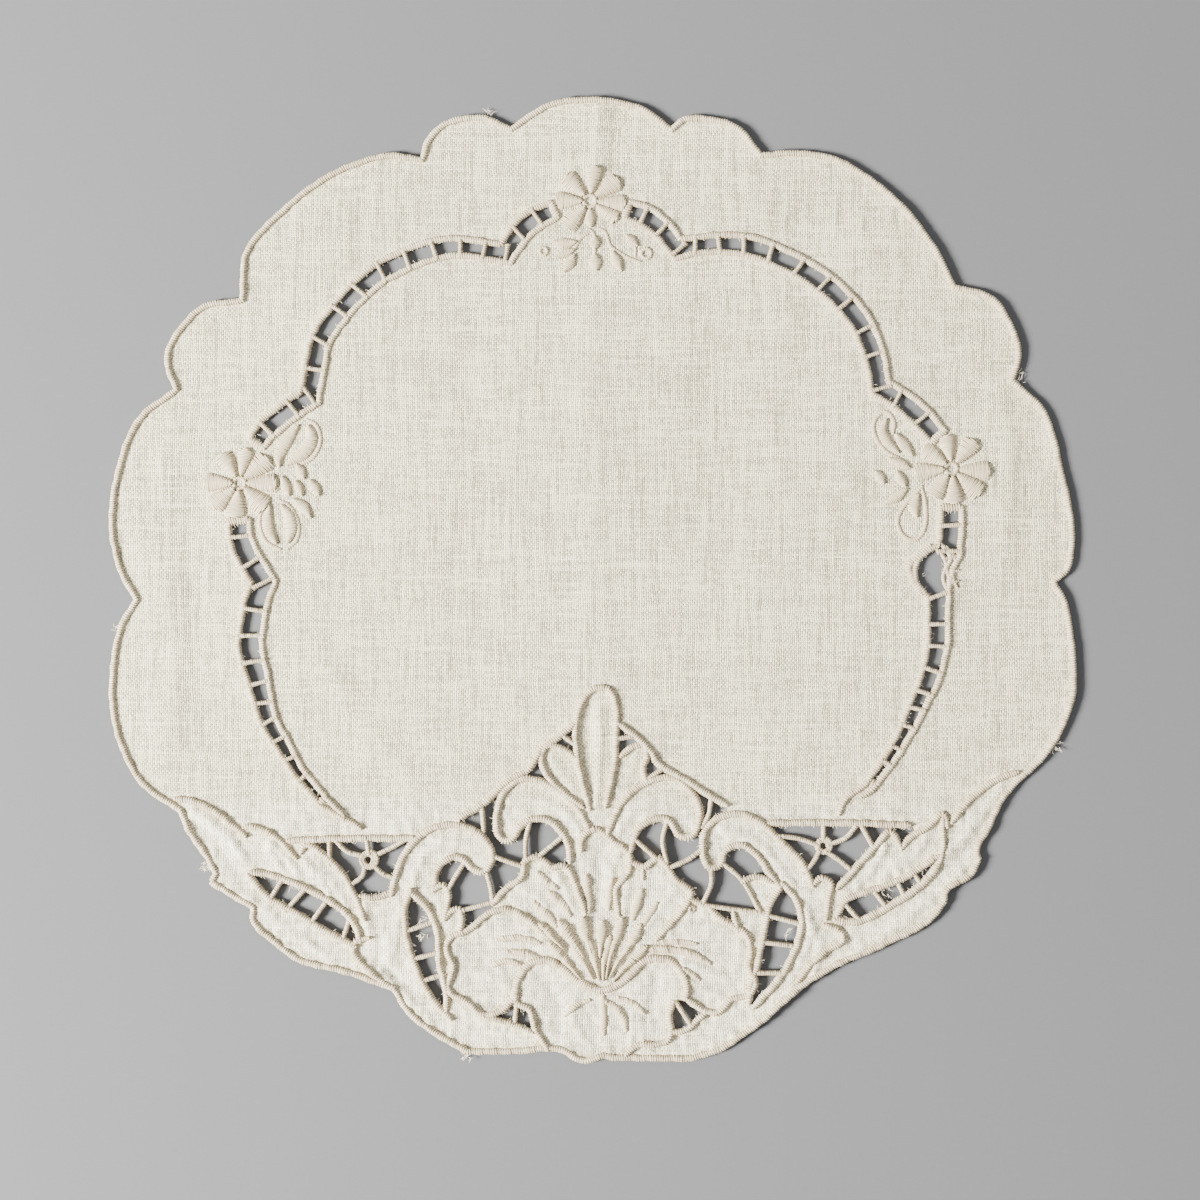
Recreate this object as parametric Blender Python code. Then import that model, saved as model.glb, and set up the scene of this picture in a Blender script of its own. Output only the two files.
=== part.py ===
"""A linen doily in cutwork embroidery, lying flat, modelled as one closed solid.

The cloth is one piece. Buttonholed cords run round its scalloped rim, beside its ladders of small gaps and
round the motifs of its foot, where the ground is cut away and held by wrapped bars and two wheels. The cords,
the bars and the padded petals are raised on the top face, and the underside is flat.

The tables are in millimetres. +X is the doily's right, +Y its head and +Z its face. The underside lies at
z = 0, under the middle of the doily's box.
"""

import math
from collections import defaultdict

import bmesh
import bpy
import numpy as np
from mathutils import Vector
from mathutils.geometry import delaunay_2d_cdt

MM = 0.001

# ---- driving sizes, in millimetres ----
CLOTH_THICKNESS = 1.0
CLOTH_UNEVENNESS = 0.12
RIM_WIDTH = 1.8
RIM_RISE = 0.5
CORD_RISE = 0.5
LADDER_CORD_WIDTH = 1.7
LADDER_BAR_WIDTH = 1.3
BAR_WIDTH = 1.3
BAR_RISE = 0.3
END_BAR_WIDTH = 1.5
WHEEL_RADIUS = 0.9
WHEEL_WIDTH = 1.5
PETAL_RISE = 0.6
LOOP_WIDTH = 1.2
LOOP_RISE = 0.3

# ---- how finely the drawn lines are broken into straight sides ----
FINE_STEP = 0.5
LONGEST_SIDE = 6.0
SIDE_TURN = math.radians(15)
GROUND_GRID = 11.0
MERGE_GAP = 0.12
LARGEST_CELL = 160.0

# The rim's outer edge, anticlockwise on the face from the head: each row is one scallop or tooth, from its first notch to
# just before the next row's first notch. (name, places)
RIM = (
    ("top scallop", ((18, 103), (11.5, 107.5), (2, 109.5), (-9.5, 108.5))),
    ("small scallop, top left", ((-18.5, 103), (-24.5, 105.5), (-32.5, 104.5), (-37.5, 100.5))),
    ("large scallop, upper left", ((-39, 96), (-46, 97), (-59.5, 92.5), (-72.5, 82.5), (-79, 74.5))),
    ("small scallop, left", ((-80, 64), (-88.5, 62.5), (-96, 54), (-97, 49))),
    ("large scallop, left", ((-95, 43.5), (-103.5, 36.5), (-108.5, 23), (-109.5, 11.5), (-107.5, 2))),
    ("large scallop, lower left", ((-104, -4.5), (-107.5, -10.5), (-109.5, -27), (-107, -38.5), (-102, -47))),
    ("left leaf, first tooth", ((-94, -52.5), (-92, -57), (-88, -63))),
    ("left leaf, second tooth", ((-86, -66.5), (-87, -68.5), (-83.5, -71))),
    ("left leaf, third tooth", ((-77.5, -74.5), (-77.5, -77.5), (-72.5, -82.5), (-66, -87), (-57.5, -89))),
    ("foot, left", ((-45.5, -93), (-41.5, -99), (-35.5, -103.5))),
    ("foot, left of the flower", ((-28.5, -107.5), (-18.5, -107.5))),
    ("foot, under the flower", ((-10, -107), (-4.5, -109), (-1.5, -109.5), (2, -109), (13, -109), (22.5, -109))),
    ("foot, right", ((29.5, -107), (37.5, -101.5), (48, -92.5))),
    ("right leaf, third tooth", ((56, -87.5), (65.5, -83.5), (77, -77.5))),
    ("right leaf, second tooth", ((80.5, -73), (81, -70.5), (86, -67.5))),
    ("right leaf, first tooth", ((88.5, -63.5), (88, -61), (91, -55.5), (93.5, -50))),
    ("large scallop, lower right", ((97.5, -45.5), (104, -39), (109.5, -27), (109.5, -15), (107.5, -4))),
    ("large scallop, right", ((105.5, -0.5), (108.5, 2.5), (109.5, 11.5), (107, 25), (103, 38.5))),
    ("small scallop, right", ((96, 45.5), (97.5, 51.5), (93, 62.5), (89, 65.5))),
    ("large scallop, upper right", ((82.5, 67), (78.5, 75), (69.5, 86.5), (55.5, 96), (45.5, 97.5))),
    ("small scallop, top right", ((38.5, 97), (33.5, 103), (24.5, 105.5), (20.5, 105))),
)

# The ladders of gaps: each chain is a list of runs that meet at cusps, where a bar crosses too.
# (run, how far along it each bar lies, places with the gap's width)
LADDERS = {
    "upper left": (
        ("foot", (4, 11.5), ((-76, 31, 2.4), (-74, 34, 3), (-68.5, 38.5, 3), (-64, 41.5, 3))),
        ("arch", (6.5, 13, 21, 27.5, 34, 40.5, 47, 53, 58.5),
         ((-64, 41.5, 3), (-63, 47.5, 3), (-61.5, 54.5, 3), (-57.5, 60.5, 3), (-53, 65.5, 3), (-47.5, 70, 3),
          (-35.5, 75, 2.8), (-29.5, 75.5, 2.4), (-19.5, 74, 2.4))),
        ("head", (5.5, 11), ((-19.5, 74, 2.4), (-17, 78, 3), (-13.5, 81.5, 3), (-8.5, 84, 2.4))),
    ),
    "upper right": (
        ("head", (4, 9), ((8, 84, 2.4), (12, 82.5, 3), (16, 79.5, 2.8), (19.5, 75, 2.4))),
        ("arch", (4, 9.5, 15, 21.5, 28.5, 35.5, 42, 49.5, 55.5),
         ((19.5, 75, 2.4), (23.5, 76, 2.2), (34.5, 76, 2.8), (44, 72.5, 3), (53, 67, 3.2), (60.5, 59, 3.2),
          (64, 51, 3), (65.5, 43.5, 2.8))),
        ("foot", (4.5, 11.5), ((65.5, 43.5, 2.8), (69, 41.5, 2.8), (73, 38.5, 3.2), (78.5, 32.5, 2.8))),
    ),
    "lower left": (
        ("head", (3.5, 10), ((-80, 13.5, 3.2), (-79.5, 8.5, 3.6), (-74.5, -0.5, 3.6))),
        ("fall", (6.5, 12.5, 18.5, 23.5, 28, 32.5, 37, 42, 47.5),
         ((-74.5, -0.5, 3.6), (-76, -4.5, 3.8), (-77, -9.5, 3.8), (-77.5, -15, 4), (-75.5, -23.5, 3.2),
          (-73.5, -31.5, 2.3), (-71, -36, 2), (-66.5, -43.5, 1.1), (-61, -50, 0.8))),
    ),
    "lower right": (
        ("head", (4,), ((81.5, 16.5, 3.2), (81.5, 12.5, 3.4), (81, 6.5, 3.6))),
        ("torn place", (), ((81, 6.5, 3.6), (77.5, 2, 7.2), (78.5, -3.5, 3.4))),
        ("fall", (6.5, 11.5, 17, 22.5, 26.5, 31, 36.5, 40.5),
         ((78.5, -3.5, 3.4), (78.5, -9.5, 3.2), (78.5, -12.5, 3.2), (78, -17, 3), (76.5, -22.5, 2.8),
          (74, -28, 2.2), (72, -32.5, 1.7), (68.5, -39, 1), (63.5, -46, 0.8))),
    ),
}

# Raised cords of the foot. (name, width, places)
CORDS = (
    ("fleur, middle petal", 1.7, ((-0.5, -52), (-2, -46.5), (-3.5, -38.5), (-3.5, -32), (-2, -27), (1, -24.5),
                                  (4, -25), (5.5, -29), (5.5, -33), (5, -42), (3, -51.5))),
    ("fleur, left petal", 1.6, ((-4, -40), (-7.5, -38), (-10, -37.5), (-11.5, -40), (-10, -44.5),
                                (-6, -48.5), (-2, -51.5))),
    ("fleur, right petal", 1.6, ((6.5, -40), (9, -38), (12, -37.5), (12.5, -40), (11.5, -42.5), (12.5, -46))),
    ("slope, left", 1.7, ((-3.5, -32), (-7.5, -35.5), (-11.5, -38.5), (-14, -42.5), (-19, -45.5),
                          (-24.5, -50.5), (-30, -54))),
    ("slope, right", 1.7, ((6, -32.5), (9.5, -35), (13, -38.5), (15, -41.5), (21.5, -45.5), (27, -49),
                           (30.5, -51))),
    ("volute, left", 1.7, ((-0.5, -57), (-3.5, -51.5), (-9, -47), (-15, -45), (-19.5, -47.5), (-21.5, -52.5),
                           (-21, -58), (-18.5, -59), (-16, -55.5), (-13, -54), (-9, -55), (-5.5, -59.5),
                           (-5, -64))),
    ("volute, right", 1.7, ((3.5, -57.5), (5.5, -52.5), (9, -48), (13.5, -45.5), (18.5, -45), (22.5, -48),
                            (24.5, -52.5), (23, -57.5), (20, -58), (17.5, -54.5), (14.5, -54), (10.5, -56.5),
                            (8.5, -62))),
    ("scroll, left", 1.7, ((-45.5, -71.5), (-44, -65.5), (-41, -60), (-36.5, -56.5), (-30.5, -55.5),
                           (-25, -58), (-22.5, -62.5), (-24.5, -66), (-27, -65.5), (-29.5, -63),
                           (-32.5, -63), (-35, -65.5), (-36, -70.5))),
    ("scroll, right", 1.7, ((50, -69.5), (47.5, -64), (43, -59.5), (37.5, -54.5), (32, -53), (26.5, -55.5),
                            (25, -60), (26.5, -65), (29, -64.5), (30.5, -61), (34, -60), (37.5, -62.5),
                            (41, -67.5), (42.5, -69.5))),
    ("lobe, left", 1.5, ((-36, -70.5), (-34, -69), (-32.5, -70.5), (-33, -74.5), (-33.5, -77))),
    ("lobe, low left", 1.5, ((-33.5, -77), (-32, -75), (-30, -74.5), (-29.5, -77), (-30, -80))),
    ("lobe, right", 1.5, ((34, -68.5), (36, -67.5), (38.5, -67.5), (41, -68.5))),
    ("lobe, low right", 1.5, ((32, -75), (32.5, -77), (33, -79.5))),
    ("scroll eye, left, outer side", 1.7, ((-41, -70), (-42.5, -74.5), (-42, -81), (-39.5, -89),
                                           (-35.5, -96), (-32, -99.5))),
    ("scroll eye, left, inner side", 1.7, ((-41.5, -70.5), (-37.5, -74), (-35, -80), (-34.5, -87.5),
                                           (-33, -93), (-33, -97.5))),
    ("scroll eye, right, inner side", 1.7, ((43, -69), (40.5, -73), (39, -79.5), (37.5, -87), (36, -91.5),
                                            (35.5, -96))),
    ("scroll eye, right, outer side", 1.7, ((43, -68.5), (46, -72), (47.5, -76), (46.5, -82.5), (43, -89.5),
                                            (36.5, -97))),
    ("level cord, left", 1.7, ((-69, -59), (-55, -58.5), (-40, -58.5))),
    ("level cord, right", 1.7, ((40, -55), (58.5, -55), (72, -55.5))),
    ("wheel cell, left, foot", 1.6, ((-52.5, -71.5), (-49.5, -72), (-45.5, -71))),
    ("wheel cell, right, foot", 1.6, ((50, -69), (52, -67.5), (54, -68.5), (53.5, -72.5), (53, -77))),
    ("left leaf, first tooth", 1.7, ((-94.5, -49.5), (-89, -50.5), (-84, -53.5), (-78.5, -58))),
    ("left leaf, second tooth", 1.6, ((-79, -56), (-76, -56), (-71.5, -58.5), (-67, -63))),
    ("left leaf, third tooth", 1.6, ((-66, -62), (-65, -60), (-62.5, -61), (-57, -66), (-53.5, -72),
                                     (-51.5, -77))),
    ("left leaf, upper side of its eye", 1.7, ((-77.5, -66), (-72, -67), (-64.5, -70), (-57.5, -74),
                                               (-53.5, -78.5), (-52.5, -82))),
    ("left leaf, lower side of its eye", 1.7, ((-78, -66.5), (-74, -71.5), (-68, -75), (-59.5, -80),
                                               (-53.5, -83))),
    ("left leaf, foot", 1.6, ((-50.5, -81), (-53.5, -82), (-54, -84.5), (-50.5, -88.5), (-45.5, -92.5))),
    ("right leaf, first tooth", 1.7, ((96.5, -43.5), (90.5, -46), (84.5, -51), (81.5, -55))),
    ("right leaf, second tooth", 1.6, ((80.5, -56), (79.5, -53), (76, -56), (72, -58.5), (70, -61))),
    ("right leaf, third tooth", 1.6, ((70, -60.5), (67.5, -57), (64.5, -60), (60, -65), (55.5, -70))),
    ("right leaf, vein", 1.4, ((79.5, -53.5), (79.5, -61), (78.5, -64.5))),
    ("right leaf, upper side of its eye", 1.7, ((55.5, -76), (57.5, -72.5), (62.5, -70.5), (70.5, -67.5),
                                                (78.5, -62.5))),
    ("right leaf, lower side of its eye", 1.9, ((55, -77), (60, -77.5), (66.5, -74.5), (73.5, -70),
                                                (77.5, -66), (79, -63))),
    ("right leaf, foot", 1.6, ((52.5, -78), (56, -79.5), (57, -81.5), (54, -83.5), (50, -86.5), (46.5, -91))),
    ("flower, top petal", 1.6, ((-2.5, -61.5), (-2, -58), (1, -56.5), (4.5, -59), (8, -61.5), (8.5, -65.5),
                                (5.5, -70), (6, -76))),
    ("flower, left upper petal", 1.6, ((-22.5, -73.5), (-19.5, -70), (-16, -67.5), (-15, -63.5), (-12, -63),
                                       (-9, -65), (-6, -65), (-4, -68.5), (-1.5, -75.5))),
    ("flower, right upper petal", 1.6, ((9, -64), (12, -65), (15, -63), (17, -65), (19, -68), (22.5, -70.5),
                                        (21, -74), (14.5, -81.5))),
    ("flower, left wide petal", 1.6, ((-10, -81), (-15, -76.5), (-20, -74.5), (-24, -76), (-27.5, -79),
                                      (-32, -81), (-33, -83.5), (-31.5, -87.5), (-32.5, -93), (-28.5, -95.5),
                                      (-24.5, -98.5), (-20.5, -97.5), (-17.5, -94.5))),
    ("flower, right wide petal", 1.6, ((22.5, -72.5), (26, -74), (29.5, -77), (35, -80.5), (36, -84),
                                       (35.5, -87.5), (37, -91.5), (35.5, -94), (31.5, -95), (28.5, -98),
                                       (24.5, -97), (21, -94.5))),
    ("flower, lip", 2.0, ((-17.5, -95.5), (-17, -91), (-13.5, -86.5), (-9, -86.5), (-3.5, -90.5), (2, -93),
                          (7.5, -90.5), (12.5, -86), (18, -86.5), (21.5, -91.5), (21, -95))),
    ("flower, lip, left side", 1.6, ((-17, -96), (-14, -97.5), (-13, -101.5), (-10, -106.5))),
    ("flower, lip, right side", 1.6, ((18.5, -95.5), (17.5, -98.5), (18, -102), (17, -105.5))),
    ("under the low gap, left", 1.5, ((-24.5, -99), (-18.5, -100.5), (-13.5, -102.5))),
    ("under the low gap, right", 1.5, ((18, -102.5), (21.5, -102), (23.5, -100), (26, -98))),
)

# Wrapped bars that cross the open cells. (place, places)
BARS = (
    ("fleur, left", ((-7, -35), (-3.5, -37.5))),
    ("fleur, right", ((5.5, -36), (9, -35.5))),
    ("slope, right", ((12, -45.5), (16.5, -42.5))),
    ("slope gap, left", ((-25, -50.5), (-24.5, -57))),
    ("slope gap, right", ((27, -49.5), (26.5, -53), (25, -56))),
    ("scroll to lobe, left", ((-28.5, -63.5), (-30.5, -66.5), (-32.5, -70))),
    ("low lobe to petal, left", ((-30, -75), (-22.5, -73))),
    ("scroll to petal, left", ((-24, -66), (-23, -69.5), (-22.5, -73))),
    ("scroll to petal tip, left", ((-22.5, -62.5), (-15.5, -65))),
    ("volute to petal tip, left", ((-14, -54.5), (-15, -59), (-15, -63.5))),
    ("volute end to petal, left", ((-6.5, -58), (-12.5, -63))),
    ("volute end to petal, right", ((9.5, -58.5), (14.5, -63))),
    ("volute to petal tip, right", ((17, -54.5), (16, -59), (17, -64))),
    ("scroll to petal tip, right", ((18, -65), (21.5, -63.5), (25, -61))),
    ("scroll to petal, right", ((27, -65.5), (27, -69), (25, -73.5))),
    ("scroll to lobe, right", ((29.5, -64), (34, -68), (38, -75))),
    ("petal to low lobe, right", ((24.5, -73.5), (31.5, -74.5), (39, -75.5))),
    ("low gap, left", ((-17, -95.5), (-17.5, -100.5))),
    ("low gap, right", ((19, -95.5), (22.5, -101))),
    ("scroll eye, left", ((-42, -79.5), (-36, -77.5))),
    ("scroll eye, left", ((-41, -86), (-35, -84.5))),
    ("scroll eye, left", ((-39, -91), (-34, -89.5))),
    ("scroll eye, right", ((40, -76), (47.5, -78))),
    ("scroll eye, right", ((38.5, -82), (46.5, -83))),
    ("scroll eye, right", ((37.5, -89), (43.5, -89))),
    ("leaf eye, left", ((-70, -67.5), (-73, -72.5))),
    ("leaf eye, left", ((-65, -70), (-69.5, -75))),
    ("leaf eye, left", ((-60, -72.5), (-63.5, -77.5))),
    ("leaf eye, left", ((-55, -77), (-56.5, -81.5))),
    ("leaf eye, right", ((57, -73), (61, -77.5))),
    ("leaf eye, right", ((63.5, -70), (67, -74.5))),
    ("leaf eye, right", ((69, -68), (71, -72))),
    ("leaf eye, right", ((73, -66.5), (75, -69.5))),
    ("left wheel, up", ((-51, -59), (-50.5, -62))),
    ("left wheel, outwards", ((-58, -59), (-55.5, -61.5), (-52, -62.5))),
    ("left wheel, inwards", ((-42.5, -59), (-46, -61), (-49.5, -62.5))),
    ("left wheel, down and outwards", ((-54.5, -69), (-52, -67), (-51.5, -64.5))),
    ("left wheel, down and inwards", ((-45, -67.5), (-47.5, -66.5), (-50, -64))),
    ("left wheel cell", ((-59.5, -59), (-59.5, -64.5))),
    ("right wheel, up", ((52.5, -55.5), (52.5, -58.5))),
    ("right wheel, inwards", ((41.5, -58), (46.5, -58.5), (51, -60))),
    ("right wheel, outwards", ((60, -55.5), (57.5, -58.5), (53.5, -60))),
    ("right wheel, down and inwards", ((48, -66.5), (50.5, -63.5), (51.5, -61.5))),
    ("right wheel, down and outwards", ((59, -66), (56, -63.5), (53, -61.5))),
    ("right wheel cell", ((61, -55.5), (64, -61))),
)

# Woven wheels in the two largest cells. (side, middle)
WHEELS = (("left", (-50.5, -63)), ("right", (52.5, -60)))

# A place inside each gap that is cut out between cords and bars. (cell, places)
CELLS = (
    ("fleur, left", ((-5, -34.5), (-6, -37))),
    ("slope, left", ((-12, -43.5),)),
    ("fleur, right", ((6.5, -34.5), (7, -37))),
    ("slope, right", ((13.5, -42.5), (16, -44))),
    ("slope gap, left", ((-27, -54.5), (-23, -54.5))),
    ("slope gap, right", ((25.5, -50), (28, -51))),
    ("between scroll and flower, left", ((-32.5, -66), (-27.5, -70), (-26.5, -76), (-20, -67),
                                         (-18.5, -61.5), (-11, -58.5), (-8.5, -62))),
    ("between scroll and flower, right", ((14, -58), (11, -62), (21.5, -60.5), (23, -67.5), (31, -70),
                                          (35, -64), (30, -76))),
    ("low gap, left", ((-19.5, -98), (-15.5, -99.5))),
    ("low gap, right", ((20, -100), (22.5, -97.5))),
    ("scroll eye, left", ((-40.5, -75), (-39, -82), (-37.5, -87.5), (-35.5, -93.5))),
    ("scroll eye, right", ((44, -73.5), (42.5, -79.5), (41, -85.5), (38.5, -91))),
    ("leaf eye, left", ((-74, -68.5), (-69.5, -71), (-64.5, -73.5), (-59.5, -76.5), (-54.5, -80.5))),
    ("leaf eye, right", ((57.5, -75.5), (61.5, -73.5), (67.5, -71.5), (71.5, -69), (75.5, -66.5))),
    ("wheel cell, left", ((-61.5, -60.5), (-56, -64), (-53.5, -60), (-47.5, -60), (-46, -63.5),
                          (-50, -69.5))),
    ("wheel cell, right", ((47.5, -57), (55.5, -57.5), (47, -61), (59, -61.5), (53.5, -65), (64.5, -58))),
)

# Rosettes of padded petals. (place, middle, petals, first petal's bearing in degrees)
ROSETTES = (
    ("head", (-0.5, 86.0), 8, 85.0),
    ("left", (-79.5, 22.0), 8, 80.0),
    ("right", (81.5, 25.0), 8, 85.0),
)
PETAL_LENGTH = 5.6
PETAL_BREADTH = 3.6
PETAL_REACH = 5.0

# Outlined leaves beside the rosettes. (place, middle, length, breadth, bearing in degrees)
LOOPS = (
    ("left, upper", (-66.5, 30.5), 9.0, 5.6, 55.0),
    ("left, lower", (-71.0, 11.5), 10.0, 5.6, -75.0),
    ("right, upper", (68.5, 33.0), 10.5, 5.4, 125.0),
    ("right, lower", (73.5, 15.0), 10.5, 5.4, -95.0),
)

LINEN_COLOUR = (0.80, 0.79, 0.75, 1.0)
LINEN_ROUGHNESS = 0.85


# ---- lines on the flat cloth ----

def smooth(places):
    """Fine points on a centripetal curve through the places, whatever number of columns they have."""
    places = [np.array(place, float) for place in places]
    if len(places) == 2:
        count = max(2, int(np.linalg.norm((places[1] - places[0])[:2]) / FINE_STEP))
        return np.linspace(places[0], places[1], count)
    ends = [2 * places[0] - places[1], *places, 2 * places[-1] - places[-2]]
    fine = []
    for a, b, c, d in zip(ends, ends[1:], ends[2:], ends[3:]):
        knots = [0.0]
        for p, q in ((a, b), (b, c), (c, d)):
            knots.append(knots[-1] + math.sqrt(max(np.linalg.norm((q - p)[:2]), 1e-6)))
        count = max(2, int(np.linalg.norm((c - b)[:2]) / FINE_STEP))
        for t in np.linspace(knots[1], knots[2], count, endpoint=False):
            ab = a + (b - a) * (t - knots[0]) / (knots[1] - knots[0])
            bc = b + (c - b) * (t - knots[1]) / (knots[2] - knots[1])
            cd = c + (d - c) * (t - knots[2]) / (knots[3] - knots[2])
            abc = ab + (bc - ab) * (t - knots[0]) / (knots[2] - knots[0])
            bcd = bc + (cd - bc) * (t - knots[1]) / (knots[3] - knots[1])
            fine.append(abc + (bcd - abc) * (t - knots[1]) / (knots[2] - knots[1]))
    fine.append(places[-1])
    return np.array(fine)


def plain_sides(path):
    """The fewest points of a fine path that keep its bends and leave no side too long."""
    kept = [0]
    turned = 0.0
    for i in range(1, len(path) - 1):
        before = path[i, :2] - path[i - 1, :2]
        after = path[i + 1, :2] - path[i, :2]
        turned += abs(math.atan2(before[0] * after[1] - before[1] * after[0], float(before @ after)))
        length = np.linalg.norm(path[i, :2] - path[kept[-1], :2])
        if turned > SIDE_TURN and length > FINE_STEP or length > LONGEST_SIDE:
            kept.append(i)
            turned = 0.0
    kept.append(len(path) - 1)
    return path[kept]


def beside(path, distance, closed=False):
    """The path moved sideways to its left, by one distance or by one for each point, mitred at corners."""
    flat = path[:, :2]
    if closed:
        before = flat - np.roll(flat, 1, axis=0)
        after = np.roll(flat, -1, axis=0) - flat
    else:
        sides = np.diff(flat, axis=0)
        before = np.vstack([sides[:1], sides])
        after = np.vstack([sides, sides[-1:]])
    before = before / np.linalg.norm(before, axis=1, keepdims=True)
    after = after / np.linalg.norm(after, axis=1, keepdims=True)
    normal = np.column_stack([-(before + after)[:, 1], (before + after)[:, 0]])
    normal /= np.maximum(np.linalg.norm(normal, axis=1, keepdims=True), 1e-9)
    reach = np.maximum(np.einsum("ij,ij->i", normal, np.column_stack([-after[:, 1], after[:, 0]])), 0.5)
    return flat + normal * (np.asarray(distance) / reach).reshape(-1, 1)


def along(path, place):
    """The point at a distance along the path, and which way the path runs there."""
    sides = np.linalg.norm(np.diff(path[:, :2], axis=0), axis=1)
    marks = np.concatenate([[0.0], np.cumsum(sides)])
    place = min(place, marks[-1])
    i = min(int(np.searchsorted(marks, place, side="right")) - 1, len(sides) - 1)
    part = (place - marks[i]) / sides[i]
    way = (path[i + 1, :2] - path[i, :2]) / sides[i]
    return path[i] + (path[i + 1] - path[i]) * part, way


def ellipse(middle, length, breadth, bearing, sides):
    """Corners of an ellipse whose long axis lies at a bearing."""
    turns = np.arange(sides) * 2 * math.pi / sides
    local = np.column_stack([np.cos(turns) * length / 2, np.sin(turns) * breadth / 2])
    cos, sin = math.cos(bearing), math.sin(bearing)
    return np.column_stack([middle[0] + local[:, 0] * cos - local[:, 1] * sin,
                            middle[1] + local[:, 0] * sin + local[:, 1] * cos])


class Plan:
    """Lines drawn on the flat cloth, with the raised strips and padded petals that they bound."""

    def __init__(self):
        self.points = []
        self.edges = []
        self.strips = []
        self.petals = []
        self.channels = []

    def line(self, path, closed=False):
        """Draw a line of straight sides."""
        first = len(self.points)
        self.points.extend(Vector((float(x), float(y))) for x, y in path[:, :2])
        count = len(path)
        self.edges.extend((first + i, first + i + 1) for i in range(count - 1))
        if closed:
            self.edges.append((first + count - 1, first))

    def strip(self, path, width, rise, closed=False):
        """Draw a strip of a width along a path, raised by a height along its middle."""
        sides = (beside(path, width / 2, closed), beside(path, -width / 2, closed))
        for line in (path, *sides):
            self.line(line, closed)
        if not closed:
            for end in (0, -1):
                self.line(np.array([sides[0][end], path[end, :2], sides[1][end]]))
        flat = path[:, :2]
        ends = np.vstack([flat[1:], flat[:1]]) if closed else flat[1:]
        starts = flat if closed else flat[:-1]
        self.strips.append((starts, ends, width / 2, rise))

    def petal(self, middle, length, breadth, bearing):
        """Draw a padded petal, an ellipse with a low crown."""
        self.line(ellipse(middle, length, breadth, bearing, 8), closed=True)
        self.line(ellipse(middle, length * 0.45, breadth * 0.45, bearing, 4), closed=True)
        self.petals.append((np.array(middle), length / 2, breadth / 2, bearing))


def draw_rim(plan):
    """Draw the rim's cord and give its middle line, which the cloth fills."""
    outer = []
    for row, following in zip(RIM, RIM[1:] + RIM[:1]):
        places = row[1] + following[1][:1]
        outer.append(plain_sides(smooth(places))[:-1])
    middle = beside(np.vstack(outer), RIM_WIDTH / 2, closed=True)
    plan.strip(middle, RIM_WIDTH, RIM_RISE, closed=True)
    return middle


def draw_ladder(plan, runs):
    """Draw one chain of ladder runs: a cord each side, bars between them, and one at each cusp and end."""
    paths = [plain_sides(smooth(places)) for _, _, places in runs]
    chain = np.vstack([path[:-1] for path in paths] + [paths[-1][-1:]])
    away = chain[:, 2] / 2 + LADDER_CORD_WIDTH / 2
    plan.strip(beside(chain, away), LADDER_CORD_WIDTH, CORD_RISE)
    plan.strip(beside(chain, -away), LADDER_CORD_WIDTH, CORD_RISE)
    plan.channels.append(np.vstack([beside(chain, away), beside(chain, -away)[::-1]]))
    for order, ((_, bars, _), path) in enumerate(zip(runs, paths)):
        starts_here = (0.0,) if order == 0 else ()
        for bar in (*starts_here, *bars, math.inf):
            place, way = along(path, bar)
            is_end = bar == 0.0 or (bar == math.inf and order == len(runs) - 1)
            across = np.array([-way[1], way[0]]) * (place[2] / 2 + LADDER_CORD_WIDTH / 2)
            ends = np.array([place[:2] - across, place[:2] + across])
            plan.strip(ends, END_BAR_WIDTH if is_end else LADDER_BAR_WIDTH, BAR_RISE)


def draw_rosette(plan, middle, petals, bearing):
    """Draw a ring of padded petals round a small padded ring."""
    for petal in range(petals):
        turn = math.radians(bearing) + petal * 2 * math.pi / petals
        place = (middle[0] + math.cos(turn) * PETAL_REACH, middle[1] + math.sin(turn) * PETAL_REACH)
        plan.petal(place, PETAL_LENGTH, PETAL_BREADTH, turn)
    plan.petal(middle, PETAL_BREADTH, PETAL_BREADTH, 0.0)


def draw_all():
    """The whole plan, and the middle line of its rim."""
    plan = Plan()
    rim = draw_rim(plan)
    for runs in LADDERS.values():
        draw_ladder(plan, runs)
    for _, width, places in CORDS:
        plan.strip(plain_sides(smooth(places)), width, CORD_RISE)
    for _, places in BARS:
        plan.strip(plain_sides(smooth(places)), BAR_WIDTH, BAR_RISE)
    for _, middle in WHEELS:
        circle = ellipse(middle, 2 * WHEEL_RADIUS, 2 * WHEEL_RADIUS, 0.0, 8)
        plan.strip(circle, WHEEL_WIDTH, BAR_RISE, closed=True)
    for _, middle, petals, bearing in ROSETTES:
        draw_rosette(plan, middle, petals, bearing)
    for _, middle, length, breadth, bearing in LOOPS:
        loop = ellipse(middle, length, breadth, math.radians(bearing), 10)
        plan.strip(loop, LOOP_WIDTH, LOOP_RISE, closed=True)
    return plan, rim


# ---- what is cloth and what is open ----

def distance_to_sides(points, starts, ends):
    """Distances from each point to each straight side."""
    sides = ends - starts
    squared = np.maximum(np.einsum("ij,ij->i", sides, sides), 1e-12)
    offset = points[:, None, :] - starts[None, :, :]
    share = np.clip(np.einsum("pij,ij->pi", offset, sides) / squared, 0.0, 1.0)
    return np.linalg.norm(offset - share[..., None] * sides[None, :, :], axis=2)


def inside_loop(points, starts, ends):
    """Which points an even-odd count of a loop's sides puts inside it."""
    x, y = points[:, None, 0], points[:, None, 1]
    x1, y1 = starts[None, :, 0], starts[None, :, 1]
    x2, y2 = ends[None, :, 0], ends[None, :, 1]
    crosses = (y1 > y) != (y2 > y)
    rise = np.where(y2 == y1, 1.0, y2 - y1)
    return (np.sum(crosses & (x < x1 + (y - y1) * (x2 - x1) / rise), axis=1) % 2) == 1


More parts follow.
